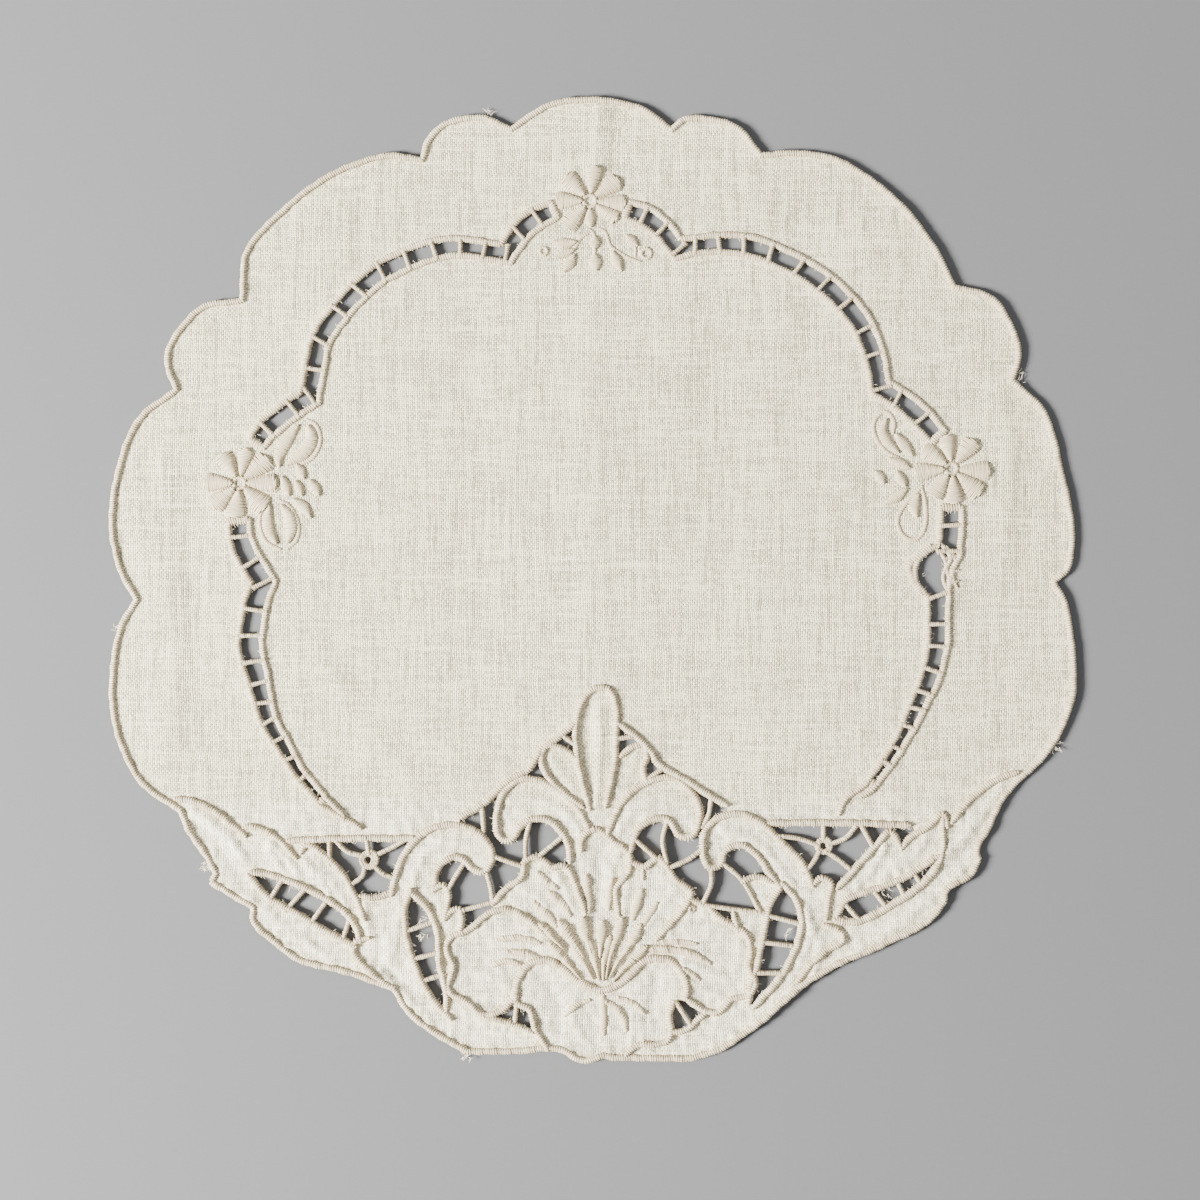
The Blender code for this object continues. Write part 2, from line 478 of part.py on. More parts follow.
def in_strips(plan, points):
    """Which points lie on a raised strip."""
    hit = np.zeros(len(points), bool)
    for starts, ends, half, _ in plan.strips:
        hit |= distance_to_sides(points, starts, ends).min(axis=1) <= half + 0.01
    return hit


def height_of_top(plan, points):
    """The top face's height at each point: uneven cloth, with its cords, bars and petals on it."""
    x, y = points[:, 0], points[:, 1]
    waves = (np.sin(x / 17.0 + 0.6) * np.cos(y / 23.0) + np.sin((x + 2 * y) / 31.0)
             + 0.6 * np.sin((3 * x - y) / 19.0 + 1.0))
    rise = np.zeros(len(points))
    for starts, ends, half, height in plan.strips:
        away = distance_to_sides(points, starts, ends).min(axis=1)
        rise = np.maximum(rise, height * np.clip(1.0 - (away / half) ** 2, 0.0, 1.0))
    for middle, long_half, short_half, bearing in plan.petals:
        offset = points - middle
        cos, sin = math.cos(bearing), math.sin(bearing)
        across = (offset[:, 0] * cos + offset[:, 1] * sin) / long_half
        beyond = (offset[:, 1] * cos - offset[:, 0] * sin) / short_half
        rise = np.maximum(rise, PETAL_RISE * np.clip(1.0 - across ** 2 - beyond ** 2, 0.0, 1.0))
    return CLOTH_THICKNESS + CLOTH_UNEVENNESS * waves / 2.6 + rise


def ground_points(plan, rim):
    """An even grid of points on the plain cloth, clear of every drawn line."""
    count = int(110 / GROUND_GRID)
    grid = np.array([(i * GROUND_GRID, j * GROUND_GRID)
                     for i in range(-count, count + 1) for j in range(-count, count + 1)], float)
    grid = grid[inside_loop(grid, rim, np.roll(rim, -1, axis=0))]
    drawn = np.array([tuple(point) for point in plan.points])
    away = np.linalg.norm(grid[:, None, :] - drawn[None, :, :], axis=2).min(axis=1)
    return grid[away > GROUND_GRID / 3]


def neighbours_of(triangles):
    """For each triangle, those that share a side with it."""
    owners = defaultdict(list)
    for index, triangle in enumerate(triangles):
        for a, b in zip(triangle, triangle[1:] + triangle[:1]):
            owners[frozenset((a, b))].append(index)
    beside_each = defaultdict(list)
    for pair in owners.values():
        if len(pair) == 2:
            beside_each[pair[0]].append(pair[1])
            beside_each[pair[1]].append(pair[0])
    return beside_each


def open_triangles(plan, points, triangles, centres, on_strip):
    """The triangles of the ladders' gaps and of the cut cells, which are spread to from a place in each."""
    is_open = np.zeros(len(triangles), bool)
    for loop in plan.channels:
        is_open |= inside_loop(centres, loop, np.roll(loop, -1, axis=0)) & ~on_strip
    beside_each = neighbours_of(triangles)
    corners = points[np.array(triangles)]
    side_a = corners[:, 1] - corners[:, 0]
    side_b = corners[:, 2] - corners[:, 0]
    areas = abs(side_a[:, 0] * side_b[:, 1] - side_a[:, 1] * side_b[:, 0]) / 2
    free = np.flatnonzero(~on_strip)
    for name, places in CELLS:
        for place in places:
            start = free[np.linalg.norm(centres[free] - np.array(place, float), axis=1).argmin()]
            found = {int(start)}
            waiting = [int(start)]
            while waiting:
                for index in beside_each[waiting.pop()]:
                    if not on_strip[index] and index not in found:
                        found.add(index)
                        waiting.append(index)
            reached = sorted(found)
            if areas[reached].sum() > LARGEST_CELL:
                raise ValueError(f"the cell {name} at {place} is not closed by its cords")
            is_open[reached] = True
    return is_open


def cut_cloth(plan, rim):
    """Points and triangles of the cloth's top face, in plan."""
    extra = [Vector((float(x), float(y))) for x, y in ground_points(plan, rim)]
    found = delaunay_2d_cdt(plan.points + extra, plan.edges, [], 0, MERGE_GAP, False)
    points = np.array([tuple(point) for point in found[0]])
    triangles = [list(face) for face in found[2]]
    centres = points[np.array(triangles)].mean(axis=1)
    on_strip = in_strips(plan, centres)
    within = inside_loop(centres, rim, np.roll(rim, -1, axis=0))
    is_open = open_triangles(plan, points, triangles, centres, on_strip)
    kept = (within | on_strip) & ~is_open
    return points, [triangle for triangle, keep in zip(triangles, kept) if keep]


def loose_sides(triangles):
    """Directed sides of the triangles that no other triangle shares."""
    sides = {(a, b) for triangle in triangles for a, b in zip(triangle, triangle[1:] + triangle[:1])}
    return [(a, b) for a, b in sides if (b, a) not in sides]


def underside(points, rim_sides):
    """Triangles of the flat underside, which use the cut edges' points alone."""
    used = sorted({index for side in rim_sides for index in side})
    place = {index: order for order, index in enumerate(used)}
    flat = [Vector((float(points[index][0]), float(points[index][1]))) for index in used]
    edges = [(place[a], place[b]) for a, b in rim_sides]
    found = delaunay_2d_cdt(flat, edges, [], 0, 1e-7, True)
    back = {new: used[old[0]] for new, old in enumerate(found[3])}
    corners = np.array([tuple(point) for point in found[0]])
    triangles = [list(face) for face in found[2]]
    centres = corners[np.array(triangles)].mean(axis=1)
    starts = np.array([points[a] for a, _ in rim_sides])
    ends = np.array([points[b] for _, b in rim_sides])
    keep = inside_loop(centres, starts, ends)
    return [[back[index] for index in triangle] for triangle, kept in zip(triangles, keep) if kept]


def make_cloth():
    """The doily as one closed solid."""
    plan, rim = draw_all()
    points, top = cut_cloth(plan, rim)
    rim_sides = loose_sides(top)
    bottom = underside(points, rim_sides)
    heights = height_of_top(plan, points)
    mesh_data = bmesh.new()
    upper = {}
    lower = {}
    for index in sorted({index for triangle in top for index in triangle}):
        x, y = points[index]
        upper[index] = mesh_data.verts.new((x * MM, y * MM, heights[index] * MM))
    for index in sorted({index for side in rim_sides for index in side}):
        x, y = points[index]
        lower[index] = mesh_data.verts.new((x * MM, y * MM, 0.0))
    for a, b, c in top:
        mesh_data.faces.new((upper[a], upper[b], upper[c]))
    for a, b, c in bottom:
        mesh_data.faces.new((lower[c], lower[b], lower[a]))
    for a, b in rim_sides:
        mesh_data.faces.new((upper[b], upper[a], lower[a], lower[b]))
    bmesh.ops.triangulate(mesh_data, faces=[face for face in mesh_data.faces if len(face.verts) > 3])
    bmesh.ops.recalc_face_normals(mesh_data, faces=mesh_data.faces[:])
    mesh = bpy.data.meshes.new("doily_cloth")
    mesh_data.to_mesh(mesh)
    mesh_data.free()
    cloth = bpy.data.objects.new("doily_cloth", mesh)
    bpy.context.collection.objects.link(cloth)
    return cloth


def linen():
    """Undyed white linen."""
    material = bpy.data.materials.new("white_linen")
    material.use_nodes = True
    shader = material.node_tree.nodes["Principled BSDF"]
    shader.inputs["Base Color"].default_value = LINEN_COLOUR
    shader.inputs["Roughness"].default_value = LINEN_ROUGHNESS
    shader.inputs["Metallic"].default_value = 0.0
    return material


def main():
    """Clear the scene and make the doily."""
    for old in list(bpy.data.objects):
        bpy.data.objects.remove(old, do_unlink=True)
    cloth = make_cloth()
    cloth.data.materials.append(linen())
    cloth.data.shade_smooth()
    cloth.data.set_sharp_from_angle(angle=math.radians(40))


main()
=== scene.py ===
"""A linen doily in cutwork embroidery, lying flat: its cloth, its thread work, and the studio round it.

The cloth is one thin uneven sheet, cut away between the buttonholed cords. Every cord, bar, petal and vein is laid
stitch by stitch over a drawn line. The tables are in millimetres: +X is the doily's right, +Y its head, +Z its face.
"""

import logging
import math
import random
from collections import defaultdict
from collections.abc import Iterable, Sequence
from dataclasses import dataclass, field
from enum import Enum

import bmesh
import bpy
import numpy as np
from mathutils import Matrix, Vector
from mathutils.geometry import delaunay_2d_cdt
from mathutils.kdtree import KDTree


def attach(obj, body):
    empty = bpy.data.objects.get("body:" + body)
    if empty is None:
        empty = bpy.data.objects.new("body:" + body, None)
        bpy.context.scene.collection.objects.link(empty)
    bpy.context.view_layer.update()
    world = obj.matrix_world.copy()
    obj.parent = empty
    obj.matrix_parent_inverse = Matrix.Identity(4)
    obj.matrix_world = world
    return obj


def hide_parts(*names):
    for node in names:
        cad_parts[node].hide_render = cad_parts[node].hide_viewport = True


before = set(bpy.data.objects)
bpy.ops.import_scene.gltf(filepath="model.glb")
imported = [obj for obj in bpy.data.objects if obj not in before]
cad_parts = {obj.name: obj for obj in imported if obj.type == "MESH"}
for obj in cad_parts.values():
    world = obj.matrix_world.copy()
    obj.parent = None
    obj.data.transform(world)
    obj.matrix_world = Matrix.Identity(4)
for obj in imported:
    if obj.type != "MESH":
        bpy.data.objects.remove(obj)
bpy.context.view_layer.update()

MM = 0.001
KNOT_TEST = 1.5  # how far beside a cord its open side is looked for, in millimetres
LOG = logging.getLogger("doily")

Places = Sequence[Sequence[float]]
Colour = tuple[float, float, float, float]
Socket = bpy.types.NodeSocket

# ---- lines that the cloth is cut and worked on, in millimetres ----

# The rim's outer edge, anticlockwise on the face from the head: each row is one scallop or tooth, from its first
# notch to just before the next row's first notch. (name: places)
RIM = {
    "top scallop": ((18, 103), (11.5, 107.5), (2, 109.5), (-9.5, 108.5)),
    "small scallop, top left": ((-18.5, 103), (-24.5, 105.5), (-32.5, 104.5), (-37.5, 100.5)),
    "large scallop, upper left": ((-39, 96), (-46, 97), (-59.5, 92.5), (-72.5, 82.5), (-79, 74.5)),
    "small scallop, left": ((-80, 64), (-88.5, 62.5), (-96, 54), (-97, 49)),
    "large scallop, left": ((-95, 43.5), (-103.5, 36.5), (-108.5, 23), (-109.5, 11.5), (-107.5, 2)),
    "large scallop, lower left": ((-104, -4.5), (-107.5, -10.5), (-109.5, -27), (-107, -38.5), (-102, -47)),
    "left leaf, first tooth": ((-94, -52.5), (-92, -57), (-88, -63)),
    "left leaf, second tooth": ((-86, -66.5), (-87, -68.5), (-83.5, -71)),
    "left leaf, third tooth": ((-77.5, -74.5), (-77.5, -77.5), (-72.5, -82.5), (-66, -87), (-57.5, -89)),
    "foot, left": ((-45.5, -93), (-41.5, -99), (-35.5, -103.5)),
    "foot, left of the flower": ((-28.5, -107.5), (-18.5, -107.5)),
    "foot, under the flower": ((-10, -106.8), (-6.4, -107.4), (-3.9, -109.1), (-1.6, -109.7), (0.3, -109.3),
     (2.3, -108.5), (5, -108.9), (13, -109), (22.5, -109)),
    "foot, right": ((29.5, -107), (37.5, -101.5), (48, -92.5)),
    "right leaf, third tooth": ((56, -87.5), (65.5, -83.5), (77, -77.5)),
    "right leaf, second tooth": ((80.5, -73), (81, -70.5), (86, -67.5)),
    "right leaf, first tooth": ((88.5, -63.5), (88, -61), (91, -55.5), (93.5, -50)),
    "large scallop, lower right": ((97.5, -45.5), (104, -39), (109.5, -27), (109.5, -15), (107.5, -4)),
    "large scallop, right": ((105.5, -0.5), (108.5, 2.5), (109.5, 11.5), (107, 25), (103, 38.5)),
    "small scallop, right": ((96, 45.5), (97.5, 51.5), (93, 62.5), (89, 65.5)),
    "large scallop, upper right": ((82.5, 67), (78.5, 75), (69.5, 86.5), (55.5, 96), (45.5, 97.5)),
    "small scallop, top right": ((38.5, 97), (33.5, 103), (24.5, 105.5), (20.5, 105)),
}

# The ladders of gaps: each chain is a list of runs that meet at cusps, where a bar crosses too.
# (chain: how far along each run its bars lie, places with the gap's width)
LADDERS = {
    "upper left": (
        ((4, 11.5), ((-76, 31, 2.4), (-74, 34, 3), (-68.5, 38.5, 3), (-64, 41.5, 3))),
        ((6.5, 13, 21, 27.5, 34, 40.5, 47, 53, 58.5), ((-64, 41.5, 3), (-63, 47.5, 3), (-61.5, 54.5, 3),
         (-57.5, 60.5, 3), (-53, 65.5, 3), (-47.5, 70, 3), (-35.5, 75, 2.8), (-29.5, 75.5, 2.4), (-19.5, 74, 2.4))),
        ((5.5, 11), ((-19.5, 74, 2.4), (-17, 78, 3), (-13.5, 81.5, 3), (-8.5, 84, 2.4))),
    ),
    "upper right": (
        ((4, 9), ((8, 84, 2.4), (12, 82.5, 3), (16, 79.5, 2.8), (19.5, 75, 2.4))),
        ((4, 9.5, 15, 21.5, 28.5, 35.5, 42, 49.5, 55.5), ((19.5, 75, 2.4), (23.5, 76, 2.2), (34.5, 76, 2.8),
         (44, 72.5, 3), (53, 67, 3.2), (60.5, 59, 3.2), (64, 51, 3), (65.5, 43.5, 2.8))),
        ((4.5, 11.5), ((65.5, 43.5, 2.8), (69, 41.5, 2.8), (73, 38.5, 3.2), (78.5, 32.5, 2.8))),
    ),
    "lower left": (
        ((3.5, 10), ((-80, 13.5, 3.2), (-79.5, 8.5, 3.6), (-74.5, -0.5, 3.6))),
        ((6.5, 12.5, 18.5, 23.5, 28, 32.5, 37, 42, 47.5), ((-74.5, -0.5, 3.6), (-76, -4.5, 3.8), (-77, -9.5, 3.8),
         (-77.5, -15, 4), (-75.5, -23.5, 3.2), (-73.5, -31.5, 2.3), (-71, -36, 2), (-66.5, -43.5, 1.1),
         (-61, -50, 0.8))),
    ),
    "lower right": (
        ((4,), ((81.5, 16.5, 3.2), (81.5, 12.5, 3.4), (81, 6.5, 3.6))),
        ((), ((81, 6.5, 3.6), (77.5, 2, 7.2), (78.5, -3.5, 3.4))),
        ((6.5, 11.5, 17, 22.5, 26.5, 31, 36.5, 40.5), ((78.5, -3.5, 3.4), (78.5, -9.5, 3.2), (78.5, -12.5, 3.2),
         (78, -17, 3), (76.5, -22.5, 2.8), (74, -28, 2.2), (72, -32.5, 1.7), (68.5, -39, 1), (63.5, -46, 0.8))),
    ),
}

# The torn place's worn corner, where the ladder's inner cord is pulled to a point. (width, places)
TORN_CORNER = (1.7, ((76.6, 7.9), (74.4, 5.7), (71.9, 3.3), (72.6, 0.6), (74.7, -3.2)))

# Buttonholed cords of the foot, the left one before the right one. (motif: width, places)
CORDS = {
    "fleur": (
        (1.7, ((-0.5, -52), (-2, -46.5), (-3.5, -38.5), (-3.5, -32), (-2, -27), (1, -24.5), (4, -25), (5.5, -29),
         (5.5, -33), (5, -42), (3, -51.5))),
        (1.6, ((-4, -40), (-7.5, -38), (-10, -37.5), (-11.5, -40), (-10, -44.5), (-6, -48.5), (-2, -51.5))),
        (1.6, ((6.5, -40), (9, -38), (12, -37.5), (12.5, -40), (11.5, -42.5), (12.5, -46))),
    ),
    "slopes": (
        (1.7, ((-3.5, -32), (-7.5, -35.5), (-11.5, -38.5), (-14, -42.5), (-19, -45.5), (-24.5, -50.5), (-30, -54))),
        (1.7, ((6, -32.5), (9.5, -35), (13, -38.5), (15, -41.5), (21.5, -45.5), (27, -49), (30.5, -51))),
    ),
    "volutes": (
        (1.7, ((-0.5, -57), (-3.5, -51.5), (-9, -47), (-15, -45), (-19.5, -47.5), (-21.5, -52.5), (-21, -58),
         (-18.5, -59), (-16, -55.5), (-13, -54), (-9, -55), (-5.5, -59.5), (-5, -64))),
        (1.7, ((3.5, -57.5), (5.5, -52.5), (9, -48), (13.5, -45.5), (18.5, -45), (22.5, -48), (24.5, -52.5),
         (23, -57.5), (20, -58), (17.5, -54.5), (14.5, -54), (10.5, -56.5), (8.5, -62))),
    ),
    "scrolls": (
        (1.7, ((-45.5, -71.5), (-44, -65.5), (-41, -60), (-36.5, -56.5), (-30.5, -55.5), (-25, -58), (-22.5, -62.5),
         (-24.5, -66), (-27, -65.5), (-29.5, -63), (-32.5, -63), (-35, -65.5), (-36, -70.5))),
        (1.7, ((50, -69.5), (47.5, -64), (43, -59.5), (37.5, -54.5), (32, -53), (26.5, -55.5), (25, -60), (26.5, -65),
         (29, -64.5), (30.5, -61), (34, -60), (37.5, -62.5), (41, -67.5), (42.5, -69.5))),
    ),
    "lobes": (
        (1.5, ((-36, -70.5), (-34, -69), (-32.5, -70.5), (-33, -74.5), (-33.5, -77))),
        (1.5, ((-33.5, -77), (-32, -75), (-30, -74.5), (-29.5, -77), (-30, -80))),
        (1.5, ((34, -68.5), (36, -67.5), (38.5, -67.5), (41, -68.5))),
        (1.5, ((32, -75), (32.5, -77), (33, -79.5))),
    ),
    "scroll eyes": (
        (1.7, ((-41, -70), (-42.5, -74.5), (-42, -81), (-39.5, -89), (-35.5, -96), (-32, -99.5))),
        (1.7, ((-41.5, -70.5), (-37.5, -74), (-35, -80), (-34.5, -87.5), (-33, -93), (-33, -97.5))),
        (1.7, ((43, -69), (40.5, -73), (39, -79.5), (37.5, -87), (36, -91.5), (35.5, -96))),
        (1.7, ((43, -68.5), (46, -72), (47.5, -76), (46.5, -82.5), (43, -89.5), (36.5, -97))),
    ),
    "level cords": (
        (1.7, ((-69, -59), (-55, -58.5), (-40, -58.5))),
        (1.7, ((40, -55), (58.5, -55), (72, -55.5))),
    ),
    "wheel cells": (
        (1.6, ((-52.5, -71.5), (-49.5, -72), (-45.5, -71))),
        (1.6, ((50, -69), (52, -67.5), (54, -68.5), (53.5, -72.5), (53, -77))),
    ),
    "left leaf": (
        (1.7, ((-94.5, -49.5), (-89, -50.5), (-84, -53.5), (-78.5, -58))),
        (1.6, ((-79, -56), (-76, -56), (-71.5, -58.5), (-67, -63))),
        (1.6, ((-66, -62), (-65, -60), (-62.5, -61), (-57, -66), (-53.5, -72), (-51.5, -77))),
        (1.7, ((-77.5, -66), (-72, -67), (-64.5, -70), (-57.5, -74), (-53.5, -78.5), (-52.5, -82))),
        (1.7, ((-78, -66.5), (-74, -71.5), (-68, -75), (-59.5, -80), (-53.5, -83))),
        (1.6, ((-50.5, -81), (-53.5, -82), (-54, -84.5), (-50.5, -88.5), (-45.5, -92.5))),
    ),
    "right leaf": (
        (1.7, ((96.5, -43.5), (90.5, -46), (84.5, -51), (81.5, -55))),
        (1.6, ((80.5, -56), (79.5, -53), (76, -56), (72, -58.5), (70, -61))),
        (1.6, ((70, -60.5), (67.5, -57), (64.5, -60), (60, -65), (55.5, -70))),
        (1.4, ((79.5, -53.5), (79.5, -61), (78.5, -64.5))),
        (1.7, ((55.5, -76), (57.5, -72.5), (62.5, -70.5), (70.5, -67.5), (78.5, -62.5))),
        (1.9, ((55, -77), (60, -77.5), (66.5, -74.5), (73.5, -70), (77.5, -66), (79, -63))),
        (1.6, ((52.5, -78), (56, -79.5), (57, -81.5), (54, -83.5), (50, -86.5), (46.5, -91))),
    ),
    "flower": (
        (1.6, ((-2.5, -61.5), (-2, -58), (1, -56.5), (4.5, -59), (8, -61.5), (8.5, -65.5), (5.5, -70), (6, -76))),
        (1.6, ((-22.5, -73.5), (-19.5, -70), (-16, -67.5), (-15, -63.5), (-12, -63), (-9, -65), (-6, -65),
         (-4, -68.5), (-1.5, -75.5))),
        (1.6, ((9, -64), (12, -65), (15, -63), (17, -65), (19, -68), (22.5, -70.5), (21, -74), (14.5, -81.5))),
        (1.6, ((-10, -81), (-15, -76.5), (-20, -74.5), (-24, -76), (-27.5, -79), (-32, -81), (-33, -83.5),
         (-31.5, -87.5), (-32.5, -93), (-28.5, -95.5), (-24.5, -98.5), (-20.5, -97.5), (-17.5, -94.5))),
        (1.6, ((22.5, -72.5), (26, -74), (29.5, -77), (35, -80.5), (36, -84), (35.5, -87.5), (37, -91.5), (35.5, -94),
         (31.5, -95), (28.5, -98), (24.5, -97), (21, -94.5))),
        (2, ((-17.5, -95.5), (-17, -91), (-13.5, -86.5), (-9, -86.5), (-3.5, -90.5), (2, -93), (7.5, -90.5),
         (12.5, -86), (18, -86.5), (21.5, -91.5), (21, -95))),
        (1.6, ((-17, -96), (-14, -97.5), (-13, -101.5), (-10, -106.5))),
        (1.6, ((18.5, -95.5), (17.5, -98.5), (18, -102), (17.2, -104.2), (14.9, -105.2), (11.2, -105.2),
         (9.1, -106.1), (7.6, -107.6))),
    ),
    "ladder tails": (
        (1.5, ((-60.2, -49.4), (-58.2, -51.3), (-56.2, -53.3))),
        (1.5, ((-61.9, -50.9), (-59, -52.5), (-55.2, -54.5), (-52.4, -56.2))),
        (1.5, ((62.6, -45.7), (60.5, -47.4), (58.2, -48.9), (56.8, -50.9), (55.9, -53.2))),
        (1.5, ((64.3, -46.8), (63.2, -47.8), (60.9, -49.2))),
    ),
    "under the low gaps": (
        (1.5, ((-24.5, -99), (-18.5, -100.5), (-13.5, -102.5))),
        (1.5, ((18, -102.5), (21.5, -102), (23.5, -100), (26, -98))),
    ),
}

# Wrapped bars that cross the open cells. (cells: places)
BARS = {
    "fleur and slopes": (
        ((-7, -35), (-3.5, -37.5)),
        ((5.5, -36), (9, -35.5)),
        ((12, -45.5), (16.5, -42.5)),
        ((-25, -50.5), (-24.5, -57)),
        ((27, -49.5), (26.5, -53), (25, -56)),
    ),
    "scrolls and volutes to the flower": (
        ((-28.5, -63.5), (-30.5, -66.5), (-32.5, -70)),
        ((-30, -75), (-22.5, -73)),
        ((-24, -66), (-23, -69.5), (-22.5, -73)),
        ((-22.5, -62.5), (-15.5, -65)),
        ((-14, -54.5), (-15, -59), (-15, -63.5)),
        ((-6.5, -58), (-12.5, -63)),
        ((9.5, -58.5), (14.5, -63)),
        ((17, -54.5), (16, -59), (17, -64)),
        ((18, -65), (21.5, -63.5), (25, -61)),
        ((27, -65.5), (27, -69), (25, -73.5)),
        ((29.5, -64), (34, -68), (38, -75)),
        ((24.5, -73.5), (31.5, -74.5), (39, -75.5)),
    ),
    "low gaps": (
        ((-17, -95.5), (-17.5, -100.5)),
        ((19, -95.5), (22.5, -101)),
    ),
    "scroll eyes": (
        ((-42, -79.5), (-36, -77.5)),
        ((-41, -86), (-35, -84.5)),
        ((-39, -91), (-34, -89.5)),
        ((40, -76), (47.5, -78)),
        ((38.5, -82), (46.5, -83)),
        ((37.5, -89), (43.5, -89)),
    ),
    "leaf eyes": (
        ((-70, -67.5), (-73, -72.5)),
        ((-65, -70), (-69.5, -75)),
        ((-60, -72.5), (-63.5, -77.5)),
        ((-55, -77), (-56.5, -81.5)),
        ((57, -73), (61, -77.5)),
        ((63.5, -70), (67, -74.5)),
        ((69, -68), (71, -72)),
        ((73, -66.5), (75, -69.5)),
    ),
    "left wheel": (
        ((-51, -59), (-50.5, -62)),
        ((-58, -59), (-55.5, -61.5), (-52, -62.5)),
        ((-42.5, -59), (-46, -61), (-49.5, -62.5)),
        ((-54.5, -69), (-52, -67), (-51.5, -64.5)),
        ((-45, -67.5), (-47.5, -66.5), (-50, -64)),
        ((-59.5, -59), (-59.5, -64.5)),
    ),
    "right wheel": (
        ((52.5, -55.5), (52.5, -58.5)),
        ((41.5, -58), (46.5, -58.5), (51, -60)),
        ((60, -55.5), (57.5, -58.5), (53.5, -60)),
        ((48, -66.5), (50.5, -63.5), (51.5, -61.5)),
        ((59, -66), (56, -63.5), (53, -61.5)),
        ((61, -55.5), (64, -61)),
    ),
}

# Woven wheels in the two largest cells. (middle, reach)
WHEELS = (
    ((-50.6, -63.3), 2.6),
    ((52.5, -60.2), 2.3),
)

# A place inside each cell that is cut away between its cords. (cell: places)
CELLS = {
    "fleur, left": ((-5, -34.5), (-6, -37)),
    "slope, left": ((-12, -43.5),),
    "fleur, right": ((6.5, -34.5), (7, -37)),
    "slope, right": ((13.5, -42.5), (16, -44)),
    "slope gap, left": ((-27, -54.5), (-23, -54.5)),
    "slope gap, right": ((25.5, -50), (28, -51)),
    "between scroll and flower, left": ((-32.5, -66), (-27.5, -70), (-26.5, -76), (-20, -67), (-18.5, -61.5),
     (-11, -58.5), (-8.5, -62)),
    "between scroll and flower, right": ((14, -58), (11, -62), (21.5, -60.5), (23, -67.5), (31, -70), (35, -64),
     (30, -76)),
    "low gap, left": ((-19.5, -98), (-15.5, -99.5)),
    "low gap, right": ((20, -100), (22.5, -97.5)),
    "scroll eye, left": ((-40.5, -75), (-39, -82), (-37.5, -87.5), (-35.5, -93.5)),
    "scroll eye, right": ((44, -73.5), (42.5, -79.5), (41, -85.5), (38.5, -91)),
    "leaf eye, left": ((-74, -68.5), (-69.5, -71), (-64.5, -73.5), (-59.5, -76.5), (-54.5, -80.5)),
    "leaf eye, right": ((57.5, -75.5), (61.5, -73.5), (67.5, -71.5), (71.5, -69), (75.5, -66.5)),
    "wheel cell, left": ((-61.5, -60.5), (-56, -64), (-53.5, -60), (-47.5, -60), (-46, -63.5), (-50, -69.5)),
    "wheel cell, right": ((47.5, -57), (55.5, -57.5), (47, -61), (59, -61.5), (53.5, -65), (64.5, -58)),
}

# Cut edges of the cloth with no cord over them. (places)
CUT_EDGES = (
    ((34, -68.5), (36, -71), (38, -75.2), (32, -75)),
)

# ---- embroidery on the uncut cloth, in millimetres ----

# Rosettes. (side: middle, petals as rows of bearing in degrees, inner reach, outer reach, half width outside)
ROSETTES = {
    "head": ((-0.5, 86), ((81, 1.9, 7.7, 2.1), (36, 1.9, 7.9, 2.3), (-3.5, 1.9, 8, 2), (-33, 2, 7.3, 1.8),
     (-132, 1.9, 7.9, 2.4), (179, 1.9, 7.5, 2.1), (134, 1.9, 7.7, 2.3))),
    "left": ((-79.9, 22), ((121, 1.8, 7.6, 2.2), (78, 1.8, 7.8, 1.9), (41, 1.8, 8.4, 2.6), (0, 1.8, 8.2, 2.3),
     (-44, 1.8, 8, 2.6), (-97, 1.8, 7.7, 2.5), (-139, 1.8, 7.9, 2.4), (178, 1.8, 7.7, 2.2))),
    "right": ((81.6, 25.3), ((99, 1.9, 7.5, 2), (51, 1.9, 7.9, 2.4), (-4, 1.9, 8.4, 2.3), (-41, 1.9, 8.4, 2.5),
     (-84, 1.9, 7.8, 2.2), (-124, 1.9, 7.5, 2.3), (-174, 1.9, 8.2, 2.2), (144, 1.9, 7.9, 2.3))),
}

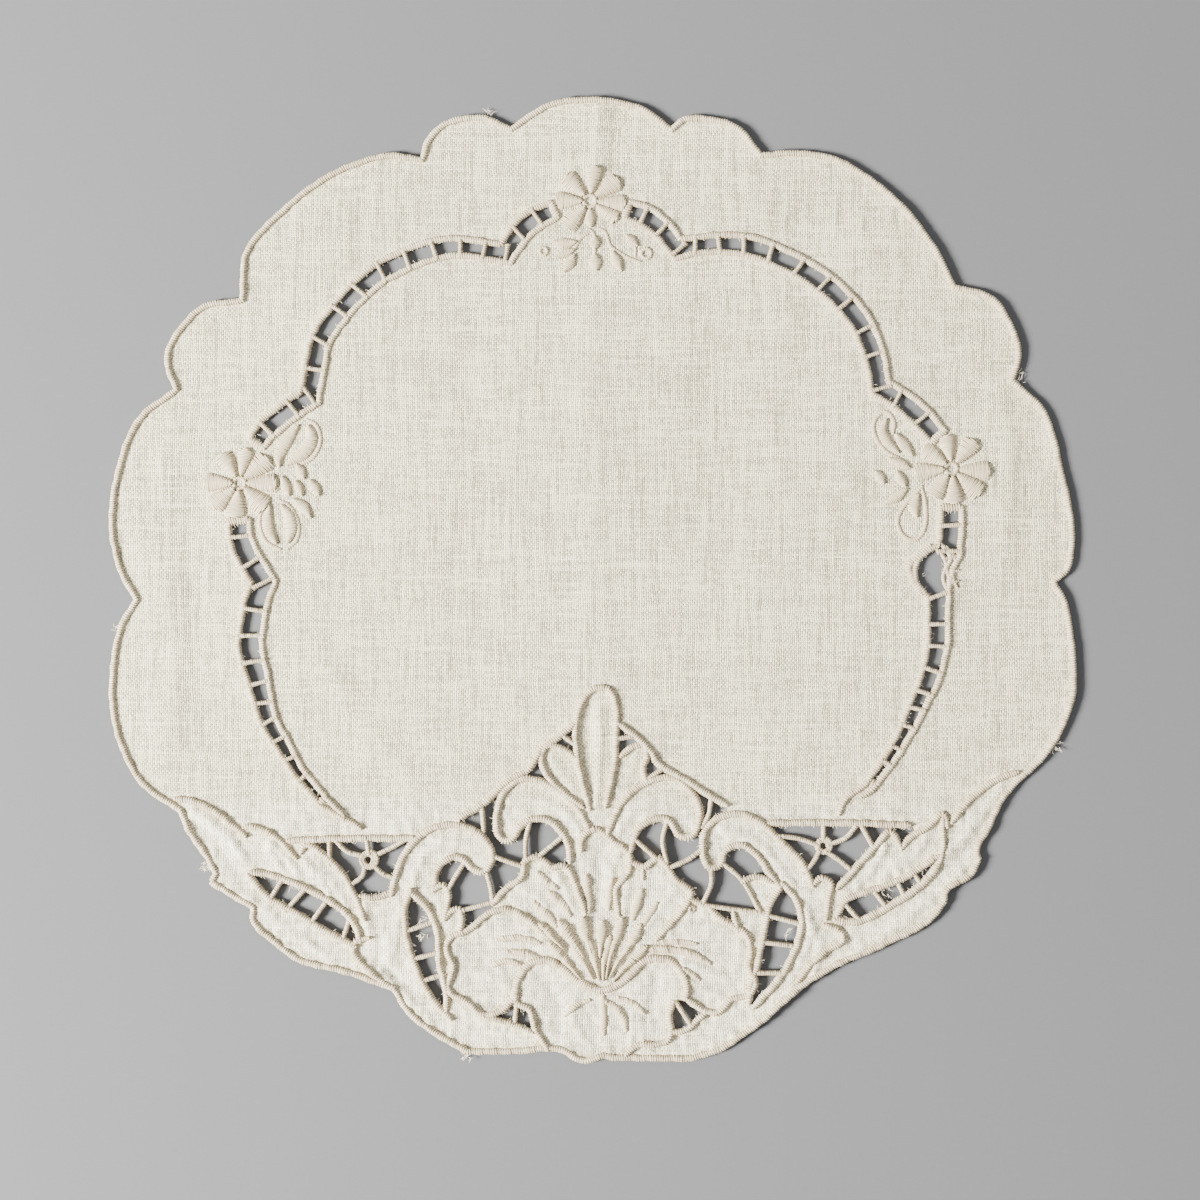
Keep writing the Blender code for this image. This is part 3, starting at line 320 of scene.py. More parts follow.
# Padded leaves and buds beside the rosettes, worked in satin stitch. (side: places with the half width there)
PADDED = {
    "head": (
        ((-0.5, 84.1, 0.6), (-0.4, 82.2, 1.35), (-0.3, 80.2, 0.8)),
        ((0.6, 77.9, 0.7), (0.7, 76.6, 1.5), (0.6, 75.2, 0.7)),
        ((0.6, 73.8, 0.8), (0.8, 72.1, 1.7), (0.9, 70.3, 0.8)),
        ((-3.7, 76.7, 0.5), (-6.1, 76.4, 1.35), (-8.7, 76.8, 0.5)),
        ((-4.2, 74.9, 0.5), (-6.2, 74.1, 1.15), (-8.2, 73.2, 0.4)),
        ((-4.1, 73.8, 0.6), (-5.1, 71.9, 1.5), (-6.3, 70, 0.5)),
        ((4.7, 74.5, 0.5), (5.6, 72.4, 1.4), (6.6, 70.2, 0.5)),
        ((7.8, 78.2, 0.5), (9, 77, 1.3), (10.2, 75.9, 0.5)),
    ),
    "left": (
        ((-64.4, 35, 0.6), (-63.5, 32.4, 1.6), (-64.8, 29.7, 1.75), (-66.8, 27.7, 1.4), (-68.9, 26.3, 0.5)),
        ((-66.7, 35, 0.5), (-68.6, 32.6, 1.4), (-70.2, 30, 1.6), (-71.1, 27.6, 1.2), (-70.9, 25.8, 0.5)),
        ((-70.4, 17, 0.6), (-68.8, 14.9, 1.4), (-68.1, 11.9, 1.6), (-69, 8.6, 0.7)),
        ((-73.2, 16.8, 0.6), (-73.6, 13.8, 1.4), (-73.1, 10.9, 1.4), (-71.6, 8.3, 0.6)),
        ((-66.9, 26.2, 0.6), (-66, 24.6, 1.3), (-65.3, 23, 0.5)),
        ((-70.3, 23.4, 0.6), (-69.4, 21.2, 1.3), (-68.7, 19.2, 0.6)),
        ((-67.2, 22.4, 0.5), (-66.4, 20.8, 1.15), (-65.8, 19.2, 0.5)),
        ((-63.9, 22.6, 0.6), (-62.8, 20.9, 1.35), (-61.9, 19.2, 0.6)),
        ((-67.6, 18.3, 0.5), (-65.4, 16.5, 1.5), (-63.8, 14.2, 0.4)),
    ),
    "right": (
        ((69, 33.1, 0.5), (70.9, 30.5, 1.5), (72.6, 28.2, 0.5)),
        ((66.6, 36.4, 0.6), (65.9, 33.9, 1.2), (67.1, 31.2, 1.3), (69.4, 29, 0.6)),
        ((73.9, 19.3, 0.6), (73.1, 17.2, 1.5), (73.6, 14.3, 0.5)),
        ((67.5, 27.6, 0.5), (70, 26.5, 1.25), (71.9, 25.5, 0.5)),
        ((64.4, 24.6, 0.6), (65.3, 23.3, 1.35), (66.1, 22, 0.6)),
        ((69.2, 24.6, 0.5), (70.1, 22.9, 1.25), (71, 21.2, 0.5)),
        ((71.2, 20.6, 0.5), (69.1, 18.8, 1.3), (66.6, 17.4, 0.5)),
    ),
}

# The flower's padded stamens. (places with the half width there)
STAMENS = (
    ((-9.7, -82.1, 0.7), (-7.5, -84.6, 1.25), (-4.9, -87.6, 0.85), (-2.7, -90.2, 0.4)),
    ((-7.5, -77.2, 0.8), (-5.8, -79.7, 1.45), (-3.9, -82.4, 0.95), (-2, -85.2, 0.45)),
    ((-2.1, -76.4, 0.9), (-1.8, -78.8, 1.45), (-1.1, -81.5, 1), (-0.2, -84.4, 0.5)),
    ((2.3, -77.3, 0.9), (2.3, -79.9, 1.45), (2, -82.6, 0.95), (1.8, -85.4, 0.5)),
    ((-4.6, -82.2, 0.6), (-3.1, -84.7, 1.1), (-1.4, -87.5, 0.8), (0.1, -90.3, 0.4)),
    ((-0.5, -81.8, 0.6), (0.2, -84.5, 1.05), (0.9, -87.4, 0.8), (1.6, -90.6, 0.4)),
    ((4.2, -80.7, 0.7), (3.4, -83.6, 1.15), (2.7, -86.6, 0.8), (2.5, -90.6, 0.4)),
    ((6.7, -76.6, 0.8), (6.1, -79.4, 1.35), (5, -82.6, 0.95), (3.9, -86.1, 0.65), (3.2, -90, 0.4)),
    ((11, -78, 0.7), (9.8, -80.7, 1.3), (8.1, -83.4, 0.95), (6, -86.2, 0.65), (3.9, -90, 0.4)),
    ((-12, -77.8, 0.5), (-10.5, -79.3, 1), (-8.6, -81.3, 0.7), (-6.6, -83.3, 0.4)),
    ((12.4, -83, 0.6), (10.2, -85.2, 1.1), (7.6, -87.6, 0.85), (4.8, -90.8, 0.4)),
)

# Stems and outlines in stem stitch. (side: half width, places)
STEMS = {
    "head": (
        (0.5, ((-0.5, 79.6), (0.4, 78.6), (0.7, 77.2), (0.6, 73.6))),
        (0.5, ((-0.6, 78.9), (-2.4, 77.8), (-3.6, 75.8), (-5.2, 73.9))),
        (0.5, ((1.4, 79.9), (3, 79), (4.2, 75.8), (6.3, 74.3), (8.6, 73), (10.8, 72.3))),
        (0.35, ((9.7, 76), (9.9, 74.8), (9.8, 73.3))),
    ),
    "left": (
        (0.62, ((-69, 25.6), (-66.4, 26.3), (-63.9, 27.4), (-62.2, 29.6), (-61.6, 32.4), (-62.6, 35.2),
         (-64.6, 36.4))),
        (0.62, ((-71, 18.2), (-68.8, 16.8), (-67.3, 14.6), (-66.5, 11.8), (-67.2, 9), (-69, 7.2))),
        (0.55, ((-73.4, 18), (-75.2, 15), (-75.2, 11.6), (-73.8, 8.6), (-70.8, 7))),
    ),
    "right": (
        (0.62, ((68.3, 33.4), (68.5, 35.6), (67.6, 37.6), (66, 38.2), (64.4, 36.8), (63.8, 34.4), (64.7, 31.7),
         (66.6, 29.3), (69, 27.8), (71.4, 26.8))),
        (0.62, ((74.8, 21.2), (72.7, 19), (70.6, 16.6), (69.4, 14.1), (69.7, 11.5), (71.5, 9.4), (73.5, 9.2),
         (75.1, 11), (75.8, 14.1), (75.6, 17.5), (74.9, 20.6))),
    ),
}

# The flower's veins. (petal: half width, places)
VEINS = {
    "left petal": (
        (0.65, ((-12.3, -66.3), (-10.3, -68.3), (-8, -69.8))),
        (0.75, ((-9.6, -71), (-7.1, -73.1), (-5, -75.9))),
        (0.75, ((-13.1, -73), (-10.6, -75.6), (-8.2, -78.2))),
    ),
    "top petal": (
        (0.7, ((-1.4, -67), (-0.9, -71.4), (-0.7, -75.2))),
        (0.6, ((4.5, -67.8), (4, -70.5), (3.7, -74.6))),
    ),
    "right petal": (
        (0.45, ((11.5, -65.6), (11.5, -67.8))),
        (0.75, ((11.2, -70.2), (10.2, -73.4), (9.2, -77))),
        (0.65, ((14.6, -73.2), (12.5, -76.6), (10.8, -79.3))),
    ),
    "left wide petal": (
        (0.55, ((-21.5, -81.5), (-16.8, -81.1), (-12, -82.2))),
        (0.55, ((-19.1, -84.3), (-15.2, -84.8), (-11.2, -86.4))),
        (0.5, ((-22.5, -87.5), (-19.8, -86.4), (-16.4, -87))),
    ),
    "right wide petal": (
        (0.6, ((12.7, -83.7), (17.7, -83.9), (22.3, -84.8), (26.6, -86.8))),
        (0.5, ((14.5, -82.2), (19, -82), (23.5, -82.4))),
        (0.5, ((20.8, -88), (24.2, -90.6))),
    ),
    "under the lip": (
        (0.65, ((2.4, -94.4), (2.6, -98.5), (2.6, -103))),
        (0.6, ((3.2, -95.6), (5.7, -97.4), (7.2, -99.6), (7.7, -102))),
        (0.5, ((6, -94.8), (9.6, -96.2), (11.8, -98.2))),
        (0.45, ((-0.6, -95.2), (-3.6, -96.4), (-6.2, -98.8))),
    ),
}

# Small worked rings. (name: middle, reach, half width)
RINGS = {
    "head, rosette": ((-0.5, 86), 1.35, 0.55),
    "left, rosette": ((-80, 22), 1.3, 0.55),
    "right, rosette": ((81.5, 25.3), 1.3, 0.6),
    "head, left ring": ((-11, 74.6), 0.85, 0.45),
    "head, right ring": ((12.3, 74.1), 1.1, 0.5),
    "flower, knot": ((22.6, -74.6), 0.6, 0.4),
}

# Soft folds of the cloth. (where: reach to each side, height or depth, places)
FOLDS = {
    "head": (
        (2.6, 0.22, ((1.8, 107.5), (2, 100), (1.2, 92))),
        (2, -0.16, ((6, 106), (5.6, 100), (4.6, 94))),
    ),
    "middle and borders": (
        (3, 0.2, ((44, 66), (43.5, 58), (42, 50))),
        (3.4, -0.2, ((98, 40), (101, 22), (99, 4))),
        (2.6, 0.18, ((92, 44), (94.5, 24), (93, 2))),
        (3.6, 0.2, ((-94, 36), (-98, 16), (-96, -18), (-97, -38))),
        (3, -0.18, ((-88, 30), (-91, 6), (-88, -30))),
        (4.5, 0.2, ((1, 60), (0, 30), (1, 0), (2, -18))),
        (5, -0.16, ((-24, 58), (-28, 20), (-26, -20))),
        (5, -0.16, ((26, 56), (30, 20), (28, -22))),
        (3.2, 0.2, ((-60, -20), (-50, -36), (-38, -48))),
        (3.2, 0.18, ((60, -16), (50, -34), (40, -46))),
    ),
    "fleur": (
        (0.9, -0.35, ((-0.5, -28.5), (-0.8, -36.3), (0, -47.8))),
        (0.9, 0.4, ((1.8, -29.5), (1.8, -37.5), (1.3, -44.3), (1, -50.8))),
        (0.8, 0.35, ((-9, -40.5), (-6.6, -44), (-3.6, -48))),
        (0.8, 0.35, ((10.2, -40), (8.6, -43.5), (7.6, -48))),
    ),
    "volutes and scrolls": (
        (0.9, 0.3, ((-18.5, -50), (-12.5, -49.6), (-6, -52.6), (-2.6, -57.6))),
        (0.9, 0.3, ((20.5, -49.6), (14.5, -49.8), (8.8, -53), (5.6, -58.2))),
        (0.9, 0.35, ((-29, -59.2), (-35, -60.2), (-39.6, -65), (-40.6, -69.4))),
        (0.9, 0.35, ((29.8, -57), (36, -58.8), (41.6, -63.6), (45.4, -69.2))),
    ),
    "left leaf": (
        (1.1, 0.32, ((-91.3, -51.3), (-85.8, -55.8), (-80, -61.3), (-77, -66.3))),
        (0.8, 0.24, ((-87, -53.6), (-81.5, -59), (-78.6, -63.6))),
        (0.8, -0.14, ((-90, -54.5), (-85, -60), (-81, -65.5))),
        (0.8, 0.4, ((-72.5, -59.6), (-69.5, -62.6), (-67, -66))),
        (0.8, 0.4, ((-73.5, -59.8), (-72, -63), (-70.2, -65.6))),
        (0.8, 0.4, ((-64.3, -64.2), (-61.5, -67.6), (-59.8, -70.6))),
        (0.8, 0.35, ((-60.6, -66.8), (-57.6, -70.4), (-56, -73.4))),
        (0.9, 0.4, ((-51.5, -72.8), (-51, -77.3), (-50, -80.8))),
        (1, 0.28, ((-82, -69.5), (-76, -73.5), (-69, -79), (-62, -83.5))),
        (0.8, 0.26, ((-71.5, -79.5), (-65.5, -82), (-57.5, -86.5))),
    ),
    "left foot": (
        (1.1, 0.4, ((-50, -90), (-46, -86), (-44, -79))),
        (0.9, 0.35, ((-46.5, -90.5), (-42, -94.5), (-36.5, -100.5))),
        (0.8, -0.3, ((-48.5, -86), (-45, -89.5), (-41, -92.5))),
        (0.8, 0.3, ((-43.6, -75.5), (-46, -80.5), (-47, -84))),
    ),
    "flower": (
        (0.8, 0.3, ((-17, -69.5), (-13, -71.4), (-10.5, -73.8))),
        (0.8, 0.35, ((-7.6, -67), (-5.6, -71), (-4, -74.6))),
        (1.1, -0.3, ((1.4, -60), (1.8, -67), (1.6, -75))),
        (0.8, 0.3, ((5.8, -62), (4.6, -65.6), (4.4, -68))),
        (0.8, 0.35, ((8.4, -68.6), (7.6, -72), (7.2, -75.4))),
        (0.8, 0.3, ((18.6, -70.4), (15.6, -74.2), (12.6, -78.6))),
        (1, -0.3, ((-28, -83), (-21, -83), (-13, -83.8))),
        (0.9, 0.3, ((-28, -88.5), (-23, -89.6), (-18.8, -91.8))),
        (1, -0.3, ((31.5, -84), (24, -83.4), (15, -82.9))),
        (0.9, 0.35, ((30, -90), (25.6, -88.4), (21, -86.6))),
        (0.8, 0.3, ((29, -94), (25, -92.6), (22.6, -90.4))),
    ),
    "under the lip": (
        (1.2, -0.3, ((-11, -90.5), (-8, -95), (-7.6, -101))),
        (1.2, -0.3, ((14.5, -89.5), (13.6, -94), (13.6, -98))),
        (0.9, 0.3, ((-3, -93), (-4.5, -98), (-2, -104))),
        (0.6, 0.3, ((9.3, -97.8), (9.5, -101.5), (9.3, -104.6))),
        (0.6, 0.3, ((11.2, -98.4), (11.3, -101.5), (11.3, -104.4))),
    ),
    "right leaf": (
        (1.1, 0.42, ((93, -47), (87, -55), (80, -63))),
        (0.8, -0.16, ((91, -52.5), (86.5, -59.5), (81.5, -65))),
        (0.8, 0.38, ((76, -58), (73, -62), (69, -66))),
        (0.8, 0.38, ((66.5, -60.5), (64, -65), (60, -69.5))),
        (0.8, 0.32, ((71.5, -61.5), (67.5, -65.5), (65, -68.6))),
        (1, 0.4, ((84, -66), (76, -73), (66, -79.5))),
        (0.8, 0.32, ((73, -77), (66, -81), (59, -84.6))),
    ),
    "right foot": (
        (1.1, 0.38, ((50, -89), (51.5, -83), (49.5, -77.5))),
        (0.9, 0.32, ((45.5, -93), (41, -97), (37, -100))),
        (0.8, 0.3, ((48.5, -74.5), (49.6, -80.5), (47, -86.5))),
    ),
}

# Worn places where threads stand out of the rim or the cords. (name: place, how many, longest, bearing in degrees)
FRAYS = {
    "rim, top left": ((-23.9, 105.5), 10, 1.6, 90),
    "rim, left": ((-107.5, -10.9), 10, 1.5, 180),
    "left leaf, tooth": ((-87.2, -64.9), 26, 1.3, 195),
    "foot, left": ((-28.2, -107.3), 24, 1.3, 260),
    "right notch": ((96.8, 45.9), 10, 1.6, 15),
    "rim, lower right": ((105.2, -37.5), 12, 1.6, -35),
    "left ladder cusp": ((-75.9, 31.8), 9, 1.4, 200),
    "scroll eye, right": ((30.2, -51.6), 18, 1.6, 75),
    "scroll eye, left, upper": ((-38, -76.8), 8, 1.8, 300),
    "scroll eye, left, lower": ((-38, -80.7), 8, 1.8, 200),
    "scroll eye, right, upper": ((45, -79.5), 8, 1.8, 250),
    "right leaf eye": ((66.1, -70.5), 8, 1.6, 300),
    "left leaf eye": ((-67.5, -69.3), 8, 1.6, 290),
    "torn place, left edge": ((74.2, 2), 3, 0.9, 0),
    "torn place, right edge": ((81.4, 2.6), 22, 1.9, 190),
    "torn place, outside": ((82.8, 1.4), 16, 1.8, 10),
    "low gap": ((-15.5, -97.8), 3, 1.3, 270),
}

# Darning threads over the torn place's worn outer side. (half width, places)
DARNS = (
    (0.6, ((79.2, 8.2), (81.4, 5.2), (80.4, 2.6), (81.6, -0.4), (80.4, -3.2))),
    (0.5, ((80.4, 7.6), (82.6, 4), (81.6, 1), (82.8, -1.6))),
    (0.45, ((79, 6.4), (80.4, 3.6), (79.6, 0.6), (80.6, -2.4))),
    (0.42, ((80, 4.8), (82.8, 5.6))),
    (0.42, ((79.8, 1.6), (83, 2.2))),
    (0.42, ((79.8, -1), (83, -0.2))),
)


class StitchShape(Enum):
    """How one thread lies across its line."""

    ARCH = "over the line, from one side of it to the other"
    PURLED = "over the line, with a small knot on its open side"
    RING = "all the way round the line"


@dataclass(frozen=True)
class StitchStyle:
    """One kind of thread work, with lengths in millimetres."""

    shape: StitchShape
    pitch: float
    slant: float
    unevenness: float
    seed: int
    groove: float
    padding: float = 0.82


BUTTONHOLE = StitchStyle(StitchShape.PURLED, 0.54, 9.0, 0.05, 3, 0.7)
WRAPPED = StitchStyle(StitchShape.RING, 0.46, 16.0, 0.08, 5, 0.8, 0.8)
SATIN = StitchStyle(StitchShape.ARCH, 0.34, 3.0, 0.03, 7, 0.2)
PADDED_SATIN = StitchStyle(StitchShape.ARCH, 0.44, 14.0, 0.1, 13, 0.5)
STEM = StitchStyle(StitchShape.ARCH, 0.52, 30.0, 0.08, 11, 0.6)

# A stitch's section, as places across it in pitches and down in grooves, and the places along its thread in degrees.
SECTION = ((0.0, 0.0), (0.34, -0.07), (0.57, -0.3), (-0.57, -0.3), (-0.34, -0.07))
ARCH_TURNS = (0, 16, 48, 90, 132, 164, 180)
RING_TURNS = 8
KNOT_ENDS = 40.0
DIVE_UNIT = 70.0
DIVE_FROM = 1.6


# ---- lines on the flat cloth ----

def rows_of(table: dict[str, tuple]) -> list[tuple]:
    """List a grouped table's rows in their order."""
    return [row for rows in table.values() for row in rows]


def smooth(places: Places, step: float = 0.5) -> np.ndarray:
    """Draw a centripetal curve through places.

    Args:
        places: Points whose first two columns are x and y. Other columns are carried along.
        step: The distance between the fine points.

    Returns:
        The fine points, with as many columns as the places.
    """
    known = [np.array(place, float) for place in places]
    if len(known) == 2:
        count = max(2, int(np.linalg.norm((known[1] - known[0])[:2]) / step) + 1)
        return np.linspace(known[0], known[1], count)
    ends = [2 * known[0] - known[1], *known, 2 * known[-1] - known[-2]]
    fine = []
    for a, b, c, d in zip(ends, ends[1:], ends[2:], ends[3:]):
        knots = [0.0]
        for p, q in ((a, b), (b, c), (c, d)):
            knots.append(knots[-1] + math.sqrt(max(np.linalg.norm((q - p)[:2]), 1e-6)))
        count = max(2, int(np.linalg.norm((c - b)[:2]) / step))
        for t in np.linspace(knots[1], knots[2], count, endpoint=False):
            ab = a + (b - a) * (t - knots[0]) / (knots[1] - knots[0])
            bc = b + (c - b) * (t - knots[1]) / (knots[2] - knots[1])
            cd = c + (d - c) * (t - knots[2]) / (knots[3] - knots[2])
            abc = ab + (bc - ab) * (t - knots[0]) / (knots[2] - knots[0])
            bcd = bc + (cd - bc) * (t - knots[1]) / (knots[3] - knots[1])
            fine.append(abc + (bcd - abc) * (t - knots[1]) / (knots[2] - knots[1]))
    fine.append(known[-1])
    return np.array(fine)


def normals_of(path: np.ndarray, closed: bool = False) -> tuple[np.ndarray, np.ndarray]:
    """Find which way is left at each point of a line.

    Args:
        path: Points with x and y in the first two columns.
        closed: Whether the last point joins the first.

    Returns:
        Unit vectors to the left, and how far a side of unit offset reaches along each at its bend.
    """
    flat = path[:, :2]
    if closed:
        before = flat - np.roll(flat, 1, axis=0)
        after = np.roll(flat, -1, axis=0) - flat
    else:
        sides = np.diff(flat, axis=0)
        before = np.vstack([sides[:1], sides])
        after = np.vstack([sides, sides[-1:]])
    before = before / np.maximum(np.linalg.norm(before, axis=1, keepdims=True), 1e-9)
    after = after / np.maximum(np.linalg.norm(after, axis=1, keepdims=True), 1e-9)
    left = np.column_stack([-(before + after)[:, 1], (before + after)[:, 0]])
    left /= np.maximum(np.linalg.norm(left, axis=1, keepdims=True), 1e-9)
    reach = np.maximum(np.einsum("ij,ij->i", left, np.column_stack([-after[:, 1], after[:, 0]])), 0.5)
    return left, reach


def tree_of(points: np.ndarray) -> KDTree:
    """Make a tree that finds the nearest of some flat points.

    Args:
        points: Points with x and y in the first two columns.

    Returns:
        The tree, which numbers the points in their order.
    """
    tree = KDTree(len(points))
    for index, point in enumerate(points):
        tree.insert((float(point[0]), float(point[1]), 0.0), index)
    tree.balance()
    return tree


def nearest(tree: KDTree, points: np.ndarray) -> tuple[np.ndarray, np.ndarray]:
    """Find the nearest point of a tree to each of some points: its number, and how far away it is."""
    found = [tree.find((float(point[0]), float(point[1]), 0.0)) for point in points]
    return np.array([hit[1] for hit in found]), np.array([hit[2] for hit in found])


def beside(path: np.ndarray, distance: float | np.ndarray, closed: bool = False, slack: float = 0.08) -> np.ndarray:
    """Move a line sideways to its left, without the loops that a tight bend would leave.

    Args:
        path: Points with x and y in the first two columns.
        distance: How far, as one number or one for each point. Less than 0 is to the right.
        closed: Whether the last point joins the first.
        slack: How much nearer than the distance a moved point may come to the line.

    Returns:
        The moved line's points, x and y.
    """
    left, reach = normals_of(path, closed)
    away = np.broadcast_to(np.asarray(distance, float), (len(path),))
    moved = path[:, :2] + left * (away / reach).reshape(-1, 1)
    index, gap = nearest(tree_of(path), moved)
    return moved[gap > np.abs(away[index]) - slack]


def marks_along(path: np.ndarray) -> np.ndarray:
    """Give each point's distance along its line."""
    return np.concatenate([[0.0], np.cumsum(np.linalg.norm(np.diff(path[:, :2], axis=0), axis=1))])


def along(path: np.ndarray, place: float) -> tuple[np.ndarray, np.ndarray]:
    """Find the point at a distance along a line.

    Args:
        path: Points with x and y in the first two columns.
        place: The distance along it, or infinity for its end.

    Returns:
        The point, with all its columns, and the unit vector of the line's way there.
    """
    marks = marks_along(path)
    place = min(place, marks[-1])
    i = min(int(np.searchsorted(marks, place, side="right")) - 1, len(path) - 2)
    side = marks[i + 1] - marks[i]
    way = (path[i + 1, :2] - path[i, :2]) / side
    return path[i] + (path[i + 1] - path[i]) * (place - marks[i]) / side, way


def inside_loop(points: np.ndarray, loop: np.ndarray) -> np.ndarray:
    """Tell which points lie inside a closed line.

    Args:
        points: The points, x and y.
        loop: The closed line's points, x and y.

    Returns:
        True for each point inside.
    """
    within = np.zeros(len(points), bool)
    x, y = points[:, 0], points[:, 1]
    for (x1, y1), (x2, y2) in zip(loop[:, :2], np.roll(loop[:, :2], -1, axis=0)):
        if y1 != y2:
            within ^= ((y1 > y) != (y2 > y)) & (x < x1 + (y - y1) * (x2 - x1) / (y2 - y1))
    return within


def distance_to_line(points: np.ndarray, path: np.ndarray) -> np.ndarray:
    """Measure how far points are from a line of straight sides.

    Args:
        points: The points, x and y.
        path: The line's points, x and y.

    Returns:
        Each point's distance.
    """
    best = np.full(len(points), np.inf)
    for start, end in zip(path[:-1, :2], path[1:, :2]):
        side = end - start
        share = np.clip((points - start) @ side / max(side @ side, 1e-12), 0.0, 1.0)
        best = np.minimum(best, np.linalg.norm(points - start - share[:, None] * side, axis=1))
    return best


def joined_sides(first: int, count: int, closed: bool = False) -> list[tuple[int, int]]:
    """List the sides, as pairs of numbers, that join some points in their order from the first one's number on."""
    sides = [(first + i, first + i + 1) for i in range(count - 1)]
    return sides + ([(first + count - 1, first)] if closed else [])


def triangle_areas(corners: np.ndarray) -> np.ndarray:
    """Give the flat area of each triangle of three corners, less than 0 for one that runs clockwise."""
    a, b = corners[:, 1] - corners[:, 0], corners[:, 2] - corners[:, 0]
    return (a[:, 0] * b[:, 1] - a[:, 1] * b[:, 0]) / 2


@dataclass
class Line:
    """A line that thread is worked over, with lengths in millimetres."""

    path: np.ndarray
    half_width: np.ndarray
    rise: float
    closed: bool = False
    purl_side: float = 1.0
    bridges: bool = False
    taper: float = 0.5
    narrowest: float = 0.3

    def widths(self) -> np.ndarray:
        """Give the half width at each point, narrowed at the line's free ends.

        Returns:
            The half widths.
        """
        if self.closed or self.taper <= 0:
            return self.half_width
        marks = marks_along(self.path)
        to_end = np.minimum(marks, marks[-1] - marks)
        return self.half_width * np.sqrt(np.clip(to_end / self.taper, self.narrowest, 1.0))


def line(places: Places | np.ndarray, half_width: float | None, rise: float, closed: bool = False,
         bridges: bool = False, taper: float = 0.5, step: float = 0.5) -> Line:
    """Draw a line to be worked.

    Args:
        places: Places on it, with the half width in a third column where none is given.
        half_width: Half the worked line's width, or None.
        rise: How far the work stands up.
        closed: Whether it is a loop, whose places are then taken as they are.
        bridges: Whether it hangs over a gap.
        taper: How long its narrowed ends are.
        step: The distance between its fine points.

    Returns:
        The line.
    """
    path = np.array(places, float) if closed else smooth(places, step)
    widths = path[:, 2] if half_width is None else np.full(len(path), half_width)
    return Line(path[:, :2], widths, rise, closed, 1.0, bridges, taper)


